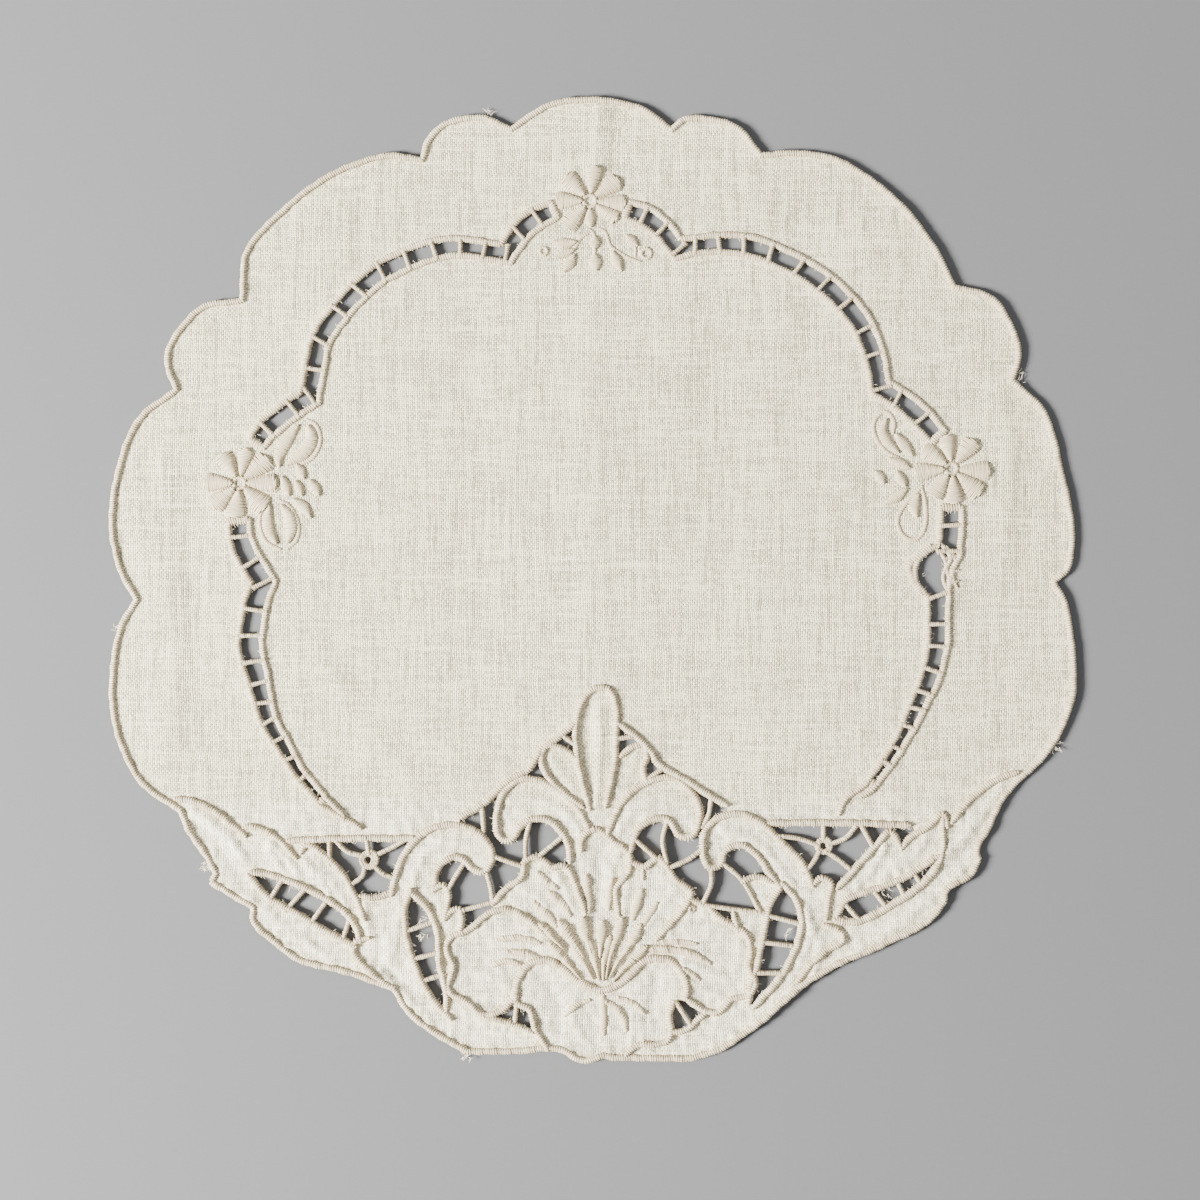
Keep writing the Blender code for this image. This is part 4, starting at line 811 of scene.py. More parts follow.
@dataclass
class Pattern:
    """Every line of the doily, drawn from the tables. Lengths are in millimetres."""

    rim_width: float = 1.5
    ladder_cord_width: float = 1.5
    ladder_bar_width: float = 1.2
    ladder_end_half: float = 0.95
    bar_width: float = 1.15
    bar_reach: float = 0.55
    bar_swell: float = 0.34
    cord_share: float = 0.95
    cord_rise: float = 0.98
    rim_rise: float = 0.84
    ladder_rise: float = 0.7
    satin_rise: float = 1.08
    leaf_rise: float = 0.86
    stamen_rise: float = 1.2
    bar_rise: float = 1.0
    stem_rise: float = 0.3
    ring_rise: float = 0.55
    wheel_rise: float = 0.95
    wheel_thread: float = 1.0
    wheel_turns: float = 2.3
    vein_swell: float = 1.75
    vein_more: float = 0.36
    sway: float = 0.0405
    swell: float = 0.025
    waver_lengths: tuple[float, ...] = (3.1, 5.3, 9.7)
    steady_end: float = 2.0
    bar_lean: float = 0.35
    bar_bend: float = 0.16
    bar_waist: float = 0.86
    bar_range: tuple[float, float] = (0.9, 1.08)
    wheel_start: float = 1.0
    petal_shape: Places = ((0.0, 0.3), (0.35, 0.66), (0.8, 1.0), (1.0, 0.97))
    stamen_shares: tuple[float, ...] = (1.2, 1.1, 0.85, 0.75, 0.75)
    thick_from: float = 0.45
    thick_more: float = 0.45
    rim: list[Line] = field(default_factory=list)
    ladder_cords: list[Line] = field(default_factory=list)
    ladder_bars: list[Line] = field(default_factory=list)
    cutwork_cords: list[Line] = field(default_factory=list)
    cutwork_bars: list[Line] = field(default_factory=list)
    wheels: list[Line] = field(default_factory=list)
    petals: list[Line] = field(default_factory=list)
    stamens: list[Line] = field(default_factory=list)
    stems: list[Line] = field(default_factory=list)
    darns: list[Line] = field(default_factory=list)
    channels: list[np.ndarray] = field(default_factory=list)
    chance: random.Random = field(default_factory=lambda: random.Random(29))

    def draw(self) -> "Pattern":
        """Draw everything.

        Returns:
            The pattern itself.
        """
        self.draw_rim()
        for runs in LADDERS.values():
            self.draw_ladder(runs)
        for width, places in rows_of(CORDS):
            self.cutwork_cords.append(line(places, width / 2 * self.cord_share, self.cord_rise, taper=0.7))
        for places in rows_of(BARS):
            self.cutwork_bars.append(line(places, self.bar_width / 2, self.bar_rise, bridges=True, taper=0))
        width, places = TORN_CORNER
        self.ladder_cords.append(line(places, width / 2, self.ladder_rise, taper=0.7))
        self.draw_wheels()
        self.draw_petals()
        self.draw_stems()
        for cord in self.cords():
            self.waver_by_hand(cord)
        return self

    def waver_by_hand(self, cord: Line) -> None:
        """Make a cord's way and width a little uneven, as hand work is.

        Args:
            cord: The cord, which is changed.
        """
        marks = marks_along(cord.path)
        left, _ = normals_of(cord.path, cord.closed)
        to_end = np.minimum(marks, marks[-1] - marks)
        ends = np.ones(len(marks)) if cord.closed else np.clip(to_end / self.steady_end, 0.0, 1.0)
        turns = 2 * math.pi * marks / marks[-1]
        sway, swell = np.zeros(len(marks)), np.zeros(len(marks))
        for length in self.waver_lengths:
            count = max(1, round(marks[-1] / length))
            sway += np.sin(count * turns + self.chance.uniform(0, 6.3))
            swell += np.sin((count + 1) * turns + self.chance.uniform(0, 6.3))
        cord.path = cord.path + left * (self.sway * sway * ends).reshape(-1, 1)
        cord.half_width = cord.half_width * (1.0 + self.swell * swell)

    def draw_rim(self) -> None:
        """Draw the rim's cord along the scallops."""
        rows = list(RIM.values())
        outer = [smooth(row + after[:1])[:-1] for row, after in zip(rows, rows[1:] + rows[:1])]
        middle = beside(np.vstack(outer), self.rim_width / 2, closed=True)
        self.rim.append(line(middle, self.rim_width / 2, self.rim_rise, closed=True))
        self.rim[0].purl_side = -1.0

    def draw_ladder(self, runs: tuple) -> None:
        """Draw one ladder.

        Args:
            runs: Its rows of bars and places.
        """
        paths = [smooth(places) for _, places in runs]
        chain = np.vstack([path[:-1] for path in paths] + [paths[-1][-1:]])
        away = chain[:, 2] / 2 + self.ladder_cord_width / 2
        sides = (beside(chain, away), beside(chain, -away))
        for side, purl_side in zip(sides, (-1.0, 1.0)):
            half_width = np.full(len(side), self.ladder_cord_width / 2)
            self.ladder_cords.append(Line(side, half_width, self.ladder_rise, purl_side=purl_side))
        self.channels.append(np.vstack([sides[0], sides[1][::-1]]))
        for order, ((bars, _), path) in enumerate(zip(runs, paths)):
            for bar in ((0.0,) if order == 0 else ()) + bars + (math.inf,):
                place, way = along(path, bar)
                across = np.array([-way[1], way[0]]) * (place[2] / 2 + self.ladder_cord_width * self.bar_reach)
                if bar == 0.0 or (bar == math.inf and order == len(runs) - 1):
                    ends = (place[:2] - across, place[:2] + across)
                    self.ladder_cords.append(line(ends, self.ladder_end_half, self.ladder_rise, taper=0.4))
                else:
                    self.draw_ladder_bar(place[:2], way, across)

    def draw_ladder_bar(self, middle: np.ndarray, way: np.ndarray, across: np.ndarray) -> None:
        """Draw one bar over a ladder's gap, leaning and bending by chance.

        Args:
            middle: Its middle.
            way: The unit vector along the ladder there.
            across: From its middle to its end.
        """
        lean = way * self.chance.uniform(-self.bar_lean, self.bar_lean)
        bend = way * self.chance.uniform(-self.bar_bend, self.bar_bend)
        half = self.ladder_bar_width / 2 * self.chance.uniform(*self.bar_range)
        rows = [(*(middle + across * share + lean * share + bend * (1 - share * share)),
                 half * (self.bar_waist + self.bar_swell * abs(share) ** 3)) for share in (-1.0, -0.5, 0.0, 0.5, 1.0)]
        self.ladder_bars.append(line(rows, None, self.bar_rise, bridges=True, taper=0))

    def draw_wheels(self) -> None:
        """Draw each woven wheel as a coil of thread."""
        for (x, y), reach in WHEELS:
            turns = np.arange(0, self.wheel_turns * 2 * math.pi, 0.25)
            radius = self.wheel_start + (reach - self.wheel_start - self.wheel_thread / 2) * turns / turns[-1]
            coil = np.column_stack([x + radius * np.cos(turns), y + radius * np.sin(turns)])
            half_width = np.full(len(coil), self.wheel_thread / 2)
            self.wheels.append(Line(coil, half_width, self.wheel_rise, bridges=True, taper=0))

    def draw_petals(self) -> None:
        """Draw what is worked in satin stitch: rosettes, leaves, buds and stamens."""
        for middle, petals in ROSETTES.values():
            for bearing, inner, outer, half in petals:
                way = np.array([math.cos(math.radians(bearing)), math.sin(math.radians(bearing))])
                rows = [(*(np.array(middle) + way * (inner + (outer - inner) * share)), half * wide)
                        for share, wide in self.petal_shape]
                self.petals.append(line(rows, None, self.satin_rise, taper=0.3, step=0.3))
        for rows in rows_of(PADDED):
            self.petals.append(line(rows, None, self.leaf_rise, taper=0.35, step=0.3))
        for rows in STAMENS:
            thinner = [(x, y, half * share) for (x, y, half), share in zip(rows, self.stamen_shares)]
            self.stamens.append(line(thinner, None, self.stamen_rise, taper=0.35, step=0.3))

    def draw_stems(self) -> None:
        """Draw the stems, outlines, veins, rings and darning threads."""
        for table, swell, more in ((STEMS, 1.0, 0.0), (VEINS, self.vein_swell, self.vein_more)):
            for half, places in rows_of(table):
                rise = self.stem_rise + more + self.thick_more * max(0.0, half - self.thick_from)
                self.stems.append(line(places, half * swell, rise, taper=1.2))
        for (x, y), reach, half in RINGS.values():
            turns = np.arange(0, 2 * math.pi, 0.35)
            ring = np.column_stack([x + reach * np.cos(turns), y + reach * np.sin(turns)])
            self.stems.append(line(ring, half, self.ring_rise, closed=True))
        for half, places in DARNS:
            self.darns.append(line(places, half, self.ring_rise, taper=0.8))

    def cords(self) -> list[Line]:
        """List the lines that the cloth's cut edges lie under."""
        return self.rim + self.ladder_cords + self.cutwork_cords


# ---- objects and node trees ----

def placed(name: str, data: bpy.types.ID) -> bpy.types.Object:
    """Put data into the scene.

    Args:
        name: The object's name.
        data: Its mesh, lamp or camera.

    Returns:
        The object, at the origin.
    """
    made = bpy.data.objects.new(name, data)
    bpy.context.scene.collection.objects.link(made)
    return made


def point_values(data: bpy.types.Mesh, name: str, values: Iterable[float]) -> None:
    """Store a number for each point of a mesh, as a named attribute."""
    data.attributes.new(name, "FLOAT", "POINT").data.foreach_set("value", np.array(values, np.float32))


def grown(guide: bpy.types.Object, tree: bpy.types.NodeTree, values: dict[str, object],
          name: str) -> bpy.types.Object:
    """Run a Geometry Nodes tree on a guide, and keep the result as a piece of plain mesh.

    Args:
        guide: The object that it runs on, which is then removed.
        tree: The tree.
        values: Values for its inputs, by name.
        name: The piece's name.

    Returns:
        The piece, without the guide's own attributes.
    """
    own = [attribute.name for attribute in guide.data.attributes if attribute.name != "position"]
    modifier = guide.modifiers.new("thread work", "NODES")
    modifier.node_group = tree
    for item in tree.interface.items_tree:
        if item.in_out == "INPUT" and item.name in values:
            modifier[item.identifier] = values[item.name]
    graph = bpy.context.evaluated_depsgraph_get()
    data = bpy.data.meshes.new_from_object(guide.evaluated_get(graph))
    data.name = name
    for unwanted in own:
        if unwanted in data.attributes and not unwanted.startswith("."):
            data.attributes.remove(data.attributes[unwanted])
    bpy.data.objects.remove(guide, do_unlink=True)
    return placed(name, data)


class Wiring:
    """Places nodes in a tree and joins them."""

    def __init__(self, tree: bpy.types.NodeTree) -> None:
        """Start with an empty tree."""
        self.tree = tree
        tree.nodes.clear()

    def node(self, kind: str, inputs: dict | None = None, **settings: object) -> bpy.types.Node:
        """Place a node.

        Args:
            kind: Its type's name.
            inputs: Values or sockets for its inputs, by name or number.
            settings: Its own properties.

        Returns:
            The node.
        """
        made = self.tree.nodes.new(kind)
        for name, value in settings.items():
            setattr(made, name, value)
        for name, value in (inputs or {}).items():
            if isinstance(value, bpy.types.NodeSocket):
                self.tree.links.new(value, made.inputs[name])
            else:
                made.inputs[name].default_value = value
        return made

    def given(self) -> bpy.types.NodeOutputs:
        """Give the tree's own inputs."""
        return self.node("NodeGroupInput").outputs

    def first(self, kind: str, inputs: dict | None = None, **settings: object) -> Socket:
        """Place a node and give its first output."""
        return self.node(kind, inputs, **settings).outputs[0]

    def maths(self, operation: str, *values: object, clamp: bool = False) -> Socket:
        """Work out a number from up to three others."""
        return self.first("ShaderNodeMath", dict(enumerate(values)), operation=operation, use_clamp=clamp)

    def plus(self, a: object, b: object) -> Socket:
        """Add two numbers."""
        return self.maths("ADD", a, b)

    def minus(self, a: object, b: object) -> Socket:
        """Take the second number from the first."""
        return self.maths("SUBTRACT", a, b)

    def times(self, a: object, b: object, clamp: bool = False) -> Socket:
        """Multiply two numbers."""
        return self.maths("MULTIPLY", a, b, clamp=clamp)

    def blend(self, a: object, share: object, start: object) -> Socket:
        """Multiply two numbers, and add a third."""
        return self.maths("MULTIPLY_ADD", a, share, start)

    def vector(self, operation: str, inputs: dict) -> Socket:
        """Work out a vector."""
        return self.first("ShaderNodeVectorMath", inputs, operation=operation)

    def scaled(self, vector: object, scale: object) -> Socket:
        """Multiply a vector or a colour by a number."""
        return self.vector("SCALE", {0: vector, "Scale": scale})

    def joined(self, **parts: object) -> Socket:
        """Make a vector from x, y and z."""
        return self.first("ShaderNodeCombineXYZ", {axis.upper(): value for axis, value in parts.items()})

    def parts(self, vector: Socket) -> bpy.types.NodeOutputs:
        """Take a vector apart."""
        return self.node("ShaderNodeSeparateXYZ", {0: vector}).outputs

    def noise(self, place: Socket, scale: float, detail: float, roughness: float = 0.5) -> Socket:
        """Make soft noise from 0 to 1."""
        inputs = {"Vector": place, "Scale": scale, "Detail": detail, "Roughness": roughness}
        return self.first("ShaderNodeTexNoise", inputs)

    def white_noise(self, kind: str, inputs: dict) -> Socket:
        """Draw a number for each whole place."""
        return self.first("ShaderNodeTexWhiteNoise", inputs, noise_dimensions=kind)

    def stored(self, name: str) -> Socket:
        """Read a mesh attribute in a material."""
        return self.node("ShaderNodeAttribute", attribute_name=name).outputs["Fac"]

    def mixed(self, share: Socket, start: object, end: object) -> Socket:
        """Mix two colours."""
        return self.node("ShaderNodeMix", {"Factor": share, 6: start, 7: end}, data_type="RGBA").outputs[2]

    def random(self, low: object, high: object, seed: Socket) -> Socket:
        """Draw a number for each element of a geometry."""
        return self.node("FunctionNodeRandomValue", {2: low, 3: high, "Seed": seed}, data_type="FLOAT").outputs[1]

    def attribute(self, name: str, data_type: str = "FLOAT") -> Socket:
        """Read a named attribute of a geometry."""
        return self.first("GeometryNodeInputNamedAttribute", {"Name": name}, data_type=data_type)

    def with_tone(self, geometry: Socket, tone: object, domain: str = "POINT") -> Socket:
        """Store a thread's tone on a geometry."""
        inputs = {"Geometry": geometry, "Name": "tone", "Value": tone}
        return self.first("GeometryNodeStoreNamedAttribute", inputs, data_type="FLOAT", domain=domain)

    def tube(self, curve: Socket, sides: int, radius: Socket) -> Socket:
        """Run a round section with closed ends along a curve.

        Args:
            curve: The curve.
            sides: How many sides the section has.
            radius: Its radius at each point.

        Returns:
            The tube.
        """
        ring = self.first("GeometryNodeCurvePrimitiveCircle", {"Resolution": sides, "Radius": 1.0}, mode="RADIUS")
        return self.first("GeometryNodeCurveToMesh", {"Curve": curve, "Profile Curve": ring, "Fill Caps": True,
                                                      "Scale": radius})

    def finish(self, geometry: Socket, material: Socket) -> None:
        """Dress a geometry and put it out."""
        dressed = self.first("GeometryNodeSetMaterial", {"Geometry": geometry, "Material": material})
        self.node("NodeGroupOutput", {0: dressed})

    def surface(self, kind: str, inputs: dict, output: str = "ShaderNodeOutputMaterial") -> None:
        """Place a shader and put it out."""
        self.node(output, {"Surface": self.first(kind, inputs)})


def new_group(name: str, kind: str, inputs: Iterable[tuple], outputs: Iterable[tuple]) -> bpy.types.NodeTree:
    """Make a node tree with named sockets.

    Args:
        name: The tree's name.
        kind: The tree's type, without the words Node and Tree.
        inputs: Rows of socket name, socket type and value, which may be left out.
        outputs: Rows of socket name and socket type.

    Returns:
        The tree.
    """
    tree = bpy.data.node_groups.new(name, f"{kind}NodeTree")
    for in_out, rows in (("INPUT", inputs), ("OUTPUT", outputs)):
        for label, socket, *value in rows:
            made = tree.interface.new_socket(label, in_out=in_out, socket_type=f"NodeSocket{socket}")
            if value:
                made.default_value = value[0]
    return tree


def new_material(name: str) -> tuple[bpy.types.Material, Wiring, Socket]:
    """Make an empty material.

    Args:
        name: Its name.

    Returns:
        The material, its wiring, and the place on the object.
    """
    material = bpy.data.materials.new(name)
    material.use_nodes = True
    wiring = Wiring(material.node_tree)
    return material, wiring, wiring.node("ShaderNodeTexCoord").outputs["Object"]


@dataclass
class ThreadLayer:
    """Lays thread over drawn lines, stitch by stitch, by a Geometry Nodes tree. Lengths are in millimetres."""

    ground: "LinenGround"
    core_step: float = 0.9
    core_share: float = 0.9
    core_sides: int = 8
    # The core's low tone is painted shade where it shows between the stitches.
    core_shade_tone: float = 0.25
    low_share: float = 0.3
    lean: float = 0.09
    bridge_drop: float = 0.42
    sunk: float = 0.24
    full_rise: float = 0.8
    lowest: float = 0.29
    tree: bpy.types.NodeTree | None = None

    def core(self, w: Wiring, given: bpy.types.NodeOutputs, curve: Socket) -> Socket:
        """Wire the padded core along the lines, flatter under its middle than over it.

        Args:
            w: The tree's wiring.
            given: The tree's inputs.
            curve: The lines.

        Returns:
            The core.
        """
        line_of = w.first("GeometryNodeResampleCurve", {"Curve": curve, "Length": given["Core Step"]}, mode="LENGTH")
        line_of = w.first("GeometryNodeSetCurveNormal", {"Curve": line_of}, mode="Z_UP")
        reach = w.times(w.attribute("half_width"), self.core_share)
        core = w.tube(line_of, self.core_sides, reach)
        above = w.minus(w.parts(w.first("GeometryNodeInputPosition"))["Z"], w.attribute("base"))
        flat = w.maths("DIVIDE", w.times(w.attribute("rise"), given["Padding"]), reach)
        is_low = w.first("FunctionNodeCompare", {0: above, 1: 0.0}, data_type="FLOAT", operation="LESS_THAN")
        scale = w.first("GeometryNodeSwitch", {"Switch": is_low, "False": flat, "True": w.times(
            flat, self.low_share)}, input_type="FLOAT")
        offset = w.joined(z=w.times(above, w.minus(scale, 1.0)))
        # The core gets a low tone: painted shade where it shows between the stitches.
        return w.with_tone(w.first("GeometryNodeSetPosition", {"Geometry": core, "Offset": offset}), self.core_shade_tone)

    def stitches(self, w: Wiring, given: bpy.types.NodeOutputs, curve: Socket) -> Socket:
        """Wire a stitch over the lines at every pitch.

        Args:
            w: The tree's wiring.
            given: The tree's inputs.
            curve: The lines.

        Returns:
            The stitches.
        """
        points = w.first("GeometryNodeResampleCurve", {"Curve": curve, "Length": given["Pitch"]}, mode="LENGTH")
        turned = w.first("FunctionNodeAlignRotationToVector", {"Vector": w.attribute("across", "FLOAT_VECTOR")},
                         axis="Y", pivot_axis="Z")
        lean = w.plus(given["Slant"], w.random(-self.lean, self.lean, given["Seed"]))
        turned = w.first("FunctionNodeRotateRotation", {0: turned, 1: w.joined(z=lean)}, rotation_space="LOCAL")
        least = w.times(given["Unevenness"], -1.0)
        seeds = [w.plus(given["Seed"], float(more)) for more in (101, 202, 303)]
        grow = [w.plus(1.0, w.random(least, given["Unevenness"], seed)) for seed in seeds[:2]]
        size = w.joined(x=given["Pitch"], y=w.times(w.attribute("half_width"), grow[0]),
                        z=w.times(w.attribute("rise"), grow[1]))
        stitch = w.node("GeometryNodeObjectInfo", {"Object": given["Stitch"]}).outputs["Geometry"]
        laid = w.first("GeometryNodeInstanceOnPoints", {"Points": points, "Instance": stitch, "Rotation": turned,
                                                        "Scale": size})
        laid = w.with_tone(laid, w.random(0.0, 1.0, seeds[2]), "INSTANCE")
        return w.first("GeometryNodeRealizeInstances", {"Geometry": laid})

    def make_tree(self) -> bpy.types.NodeTree:
        """Build the tree: lines to curves, a padded core along them, and a stitch over it at every pitch.

        Returns:
            The tree.
        """
        tree = new_group("stitches over a line", "Geometry", (
            ("Geometry", "Geometry"), ("Stitch", "Object"), ("Pitch", "Float", 0.0006),
            ("Core Step", "Float", 0.0009), ("Slant", "Float", 0.1), ("Unevenness", "Float", 0.08),
            ("Padding", "Float", 0.8), ("Seed", "Int", 1), ("Material", "Material")), (("Geometry", "Geometry"),))
        w = Wiring(tree)
        given = w.given()
        curve = w.first("GeometryNodeMeshToCurve", {"Mesh": given["Geometry"]})
        core = self.core(w, given, curve)
        laid = self.stitches(w, given, curve)
        both = w.node("GeometryNodeJoinGeometry")
        tree.links.new(core, both.inputs[0])
        tree.links.new(laid, both.inputs[0])
        w.finish(both.outputs[0], given["Material"])
        return tree

    def stitch(self, style: StitchStyle) -> bpy.types.Object:
        """Make one stitch of unit pitch, half width and height, lying across the line.

        Args:
            style: How the thread lies, and how deep the groove between two threads is.

        Returns:
            The stitch, with the way along its thread as a UV map.
        """
        ring, purled = style.shape is StitchShape.RING, style.shape is StitchShape.PURLED
        turns = np.linspace(0, 2 * math.pi, RING_TURNS + 1)[:-1] if ring else np.radians(ARCH_TURNS)
        section = [(x, depth * style.groove) for x, depth in SECTION]
        mesh = bmesh.new()
        thread = mesh.loops.layers.uv.new("thread")
        rows = []
        for turn in turns:
            knot = max(0.0, 1.0 - turn / math.radians(KNOT_ENDS)) if purled else 0.0
            dive = max(0.0, turn / math.radians(DIVE_UNIT) - DIVE_FROM) if purled else 0.0
            row = []
            for x, depth in section:
                reach = 1.0 + depth * (0.8 if ring else 1.0) + 0.1 * knot
                rise = 0.5 + 0.5 * math.sin(turn) * reach if ring else abs(math.sin(turn)) ** 0.8 * reach
                row.append(mesh.verts.new((x * (1.0 + 0.15 * knot - 0.34 * dive), math.cos(turn) * reach, rise)))
            rows.append(row)
        pairs = list(zip(rows, rows[1:] + rows[:1])) if ring else list(zip(rows, rows[1:]))
        count = len(section)
        for step, (near, far) in enumerate(pairs):
            for side in range(count):
                face = mesh.faces.new((near[side], near[(side + 1) % count], far[(side + 1) % count], far[side]))
                for loop, (u, v) in zip(face.loops, ((0, 0), (0, 1), (1, 1), (1, 0))):
                    loop[thread].uv = ((step + u) / len(pairs), (side + v) / count)
        if not ring:
            mesh.faces.new(rows[0])
            mesh.faces.new(rows[-1])
        bmesh.ops.recalc_face_normals(mesh, faces=mesh.faces[:])
        data = bpy.data.meshes.new("one stitch")
        mesh.to_mesh(data)
        mesh.free()
        data.shade_smooth()
        return bpy.data.objects.new("one stitch", data)

    def guide(self, lines: list[Line]) -> bpy.types.Object:
        """Make the drawn lines' guide.

        Args:
            lines: The lines to work.

        Returns:
            A mesh of loose edges with the widths, heights and ways across as attributes.
        """
        places, edges, widths, rises, across = [], [], [], [], []
        for drawn in lines:
            level = self.ground.height(drawn.path)
            if drawn.bridges:
                level = np.linspace(level[0], level[-1], len(level)) - self.bridge_drop
            else:
                level = level - self.sunk * min(1.0, drawn.rise / self.full_rise)
            level = np.maximum(level, self.lowest)
            left, _ = normals_of(drawn.path, drawn.closed)
            edges.extend(joined_sides(len(places), len(drawn.path), drawn.closed))
            places.extend((x * MM, y * MM, z * MM) for (x, y), z in zip(drawn.path, level))
            widths.extend(drawn.widths() * MM)
            rises.extend([drawn.rise * MM] * len(drawn.path))
            across.extend((x * drawn.purl_side, y * drawn.purl_side, 0.0) for x, y in left)
        data = bpy.data.meshes.new("guide")
        data.from_pydata(places, edges, [])
        for name, values in (("half_width", widths), ("rise", rises), ("base", [place[2] for place in places])):
            point_values(data, name, values)
        way = data.attributes.new("across", "FLOAT_VECTOR", "POINT")
        way.data.foreach_set("vector", np.array(across, np.float32).ravel())
        return placed("guide", data)

    def lay(self, name: str, lines: list[Line], style: StitchStyle, thread: bpy.types.Material) -> bpy.types.Object:
        """Work some lines.

        Args:
            name: The piece's name.
            lines: The lines.
            style: The kind of work.
            thread: The thread's material.

        Returns:
            The piece, as a plain mesh.
        """
        self.tree = self.tree or self.make_tree()
        stitch = self.stitch(style)
        piece = grown(self.guide(lines), self.tree, {
            "Stitch": stitch, "Pitch": style.pitch * MM, "Core Step": self.core_step * MM,
            "Slant": math.radians(style.slant), "Unevenness": style.unevenness, "Padding": style.padding,
            "Seed": style.seed, "Material": thread}, name)
        bpy.data.objects.remove(stitch, do_unlink=True)
        return piece


# ---- finishes ----

@dataclass(frozen=True)
class LinenFinish:
    """Old white linen in plain weave, with uneven threads. Lengths are in metres."""

    thread: Colour = (0.785, 0.745, 0.545, 1.0)
    # The gap colour is painted shade in the hollows between the threads.
    gap: Colour = (0.36, 0.335, 0.24, 1.0)
    # Painted shade beside the cords: a darker beige that the cloth is mixed towards near them.
    cord_shade: Colour = (0.60, 0.53, 0.39, 1.0)
    washed: Colour = (0.87, 0.834, 0.672, 1.0)
    threads_per_metre: float = 2000.0
    waver: float = 1.0
    roughness: float = 0.9
    relief: float = 0.00026
    # How much lighter or darker a crossing is painted, by which thread lies on top: painted light and shade.
    check: float = 0.55
    slubs: float = 3.3
    grain: float = 0.85
    darkest: float = 0.52
    brightest: float = 1.28
    gap_shade_share: float = 0.22
    cord_shade_share: float = 0.34
    pressed_share: float = 0.75

    def thread_tone(self, w: Wiring, thread: Socket, run: Socket, seed: float) -> Socket:
        """Wire the tone along each thread that runs one way, lighter where it is thick.

        Args:
            w: The group's wiring.
            thread: The threads' count across.
            run: The way along them.
            seed: Sets the warp's tones apart from the weft's.

        Returns:
            The tone.
        """
        own = w.white_noise("1D", {"W": w.plus(w.maths("FLOOR", thread), seed)})
        place = w.joined(x=w.times(own, 97.0), y=w.times(run, 0.034), z=seed)
        tone = w.noise(place, 1.0, 3.0, 0.58)
        thick = w.times(w.maths("MAXIMUM", w.minus(tone, 0.61), 0.0), 1.6)
        return w.plus(w.minus(tone, 0.5), thick)

    def weave_group(self) -> bpy.types.NodeTree:
        """Build the plain weave: warp over weft and weft over warp by turns, each thread with its own tone.

        Returns:
            The group.
        """
        group = new_group("plain weave", "Shader", (
            ("Place", "Vector"), ("Threads per Metre", "Float", 2000.0), ("Waver", "Float", 0.5)),
            (("Height", "Float"), ("Tone", "Float"), ("Check", "Float"), ("Gap", "Float")))
        w = Wiring(group)
        given = w.given()
        drift = w.node("ShaderNodeTexNoise", {"Vector": given["Place"], "Scale": 240.0, "Detail": 3.0})
        wander = w.scaled(w.vector("SUBTRACT", {0: drift.outputs["Color"], 1: (0.5, 0.5, 0.5)}),
                          w.times(given["Waver"], 2.0))
        grid = w.scaled(given["Place"], given["Threads per Metre"])
        parts = w.parts(w.vector("ADD", {0: grid, 1: wander}))
        warp = self.thread_tone(w, parts["X"], parts["Y"], 3.7)
        weft = self.thread_tone(w, parts["Y"], parts["X"], 9.1)
        check = w.times(*(w.maths("SINE", w.times(parts[axis], math.pi)) for axis in ("X", "Y")))
        bulge = w.maths("POWER", w.maths("ABSOLUTE", check), 0.6)
        on_top = w.blend(check, 0.5, 0.5)
        tone = w.plus(w.times(warp, w.blend(on_top, 0.75, 0.3)), w.times(weft, w.blend(on_top, -0.7, 0.8)))
        height = w.blend(tone, 1.2, bulge)
        crossing = w.joined(x=w.maths("FLOOR", parts["X"]), y=w.maths("FLOOR", parts["Y"]))
        tone = w.blend(w.white_noise("2D", {"Vector": crossing}), 0.16, w.minus(tone, 0.08))
        w.node("NodeGroupOutput", {"Height": height, "Tone": tone, "Check": check, "Gap": w.minus(1.0, bulge)})
        return group

    def make(self) -> bpy.types.Material:
        """Make the linen's material.

        Returns:
            The material.
        """
        material, w, place = new_material("old white linen")
        weave = w.node("ShaderNodeGroup", node_tree=self.weave_group())
        material.node_tree.links.new(place, weave.inputs["Place"])
        weave.inputs["Threads per Metre"].default_value = self.threads_per_metre
        weave.inputs["Waver"].default_value = self.waver
        weave = weave.outputs
        foot, near = w.stored("in_foot"), w.stored("cord_nearness")
        # Painted light and shade on the weave: crossings with the warp on top are made lighter and those with the
        # weft on top darker, half as much in the foot.
        check = w.times(weave["Check"], w.blend(foot, -0.5 * self.check, self.check))
        tone = w.blend(weave["Tone"], w.blend(foot, -0.35 * self.slubs, self.slubs),
                       w.plus(check, 1.0 - self.grain / 2))
        tone = w.maths("MAXIMUM", w.blend(w.noise(place, 2600.0, 1.0), self.grain, tone), self.darkest)
        tone = w.times(w.maths("MINIMUM", tone, self.brightest), w.blend(w.noise(place, 60.0, 5.0), 0.14, 0.93))
        cloth = w.mixed(foot, self.thread, self.washed)
        # Painted shade: the cloth is darkened towards a beige shade colour near the cords.
        cloth = w.mixed(w.times(near, self.cord_shade_share), cloth, self.cord_shade)
        # Painted shade: the cloth is darkened towards the gap colour between the threads.
        cloth = w.mixed(w.times(weave["Gap"], self.gap_shade_share), cloth, self.gap)
        pressed = w.times(weave["Height"], w.blend(near, -self.pressed_share, 1.0))
        bump = w.first("ShaderNodeBump", {"Height": pressed, "Distance": self.relief, "Strength": 0.75})
        w.surface("ShaderNodeBsdfPrincipled", {
            "Base Color": w.scaled(cloth, tone), "Roughness": self.roughness, "Normal": bump, "Sheen Weight": 0.1,
            "Sheen Roughness": 0.6})
        return material


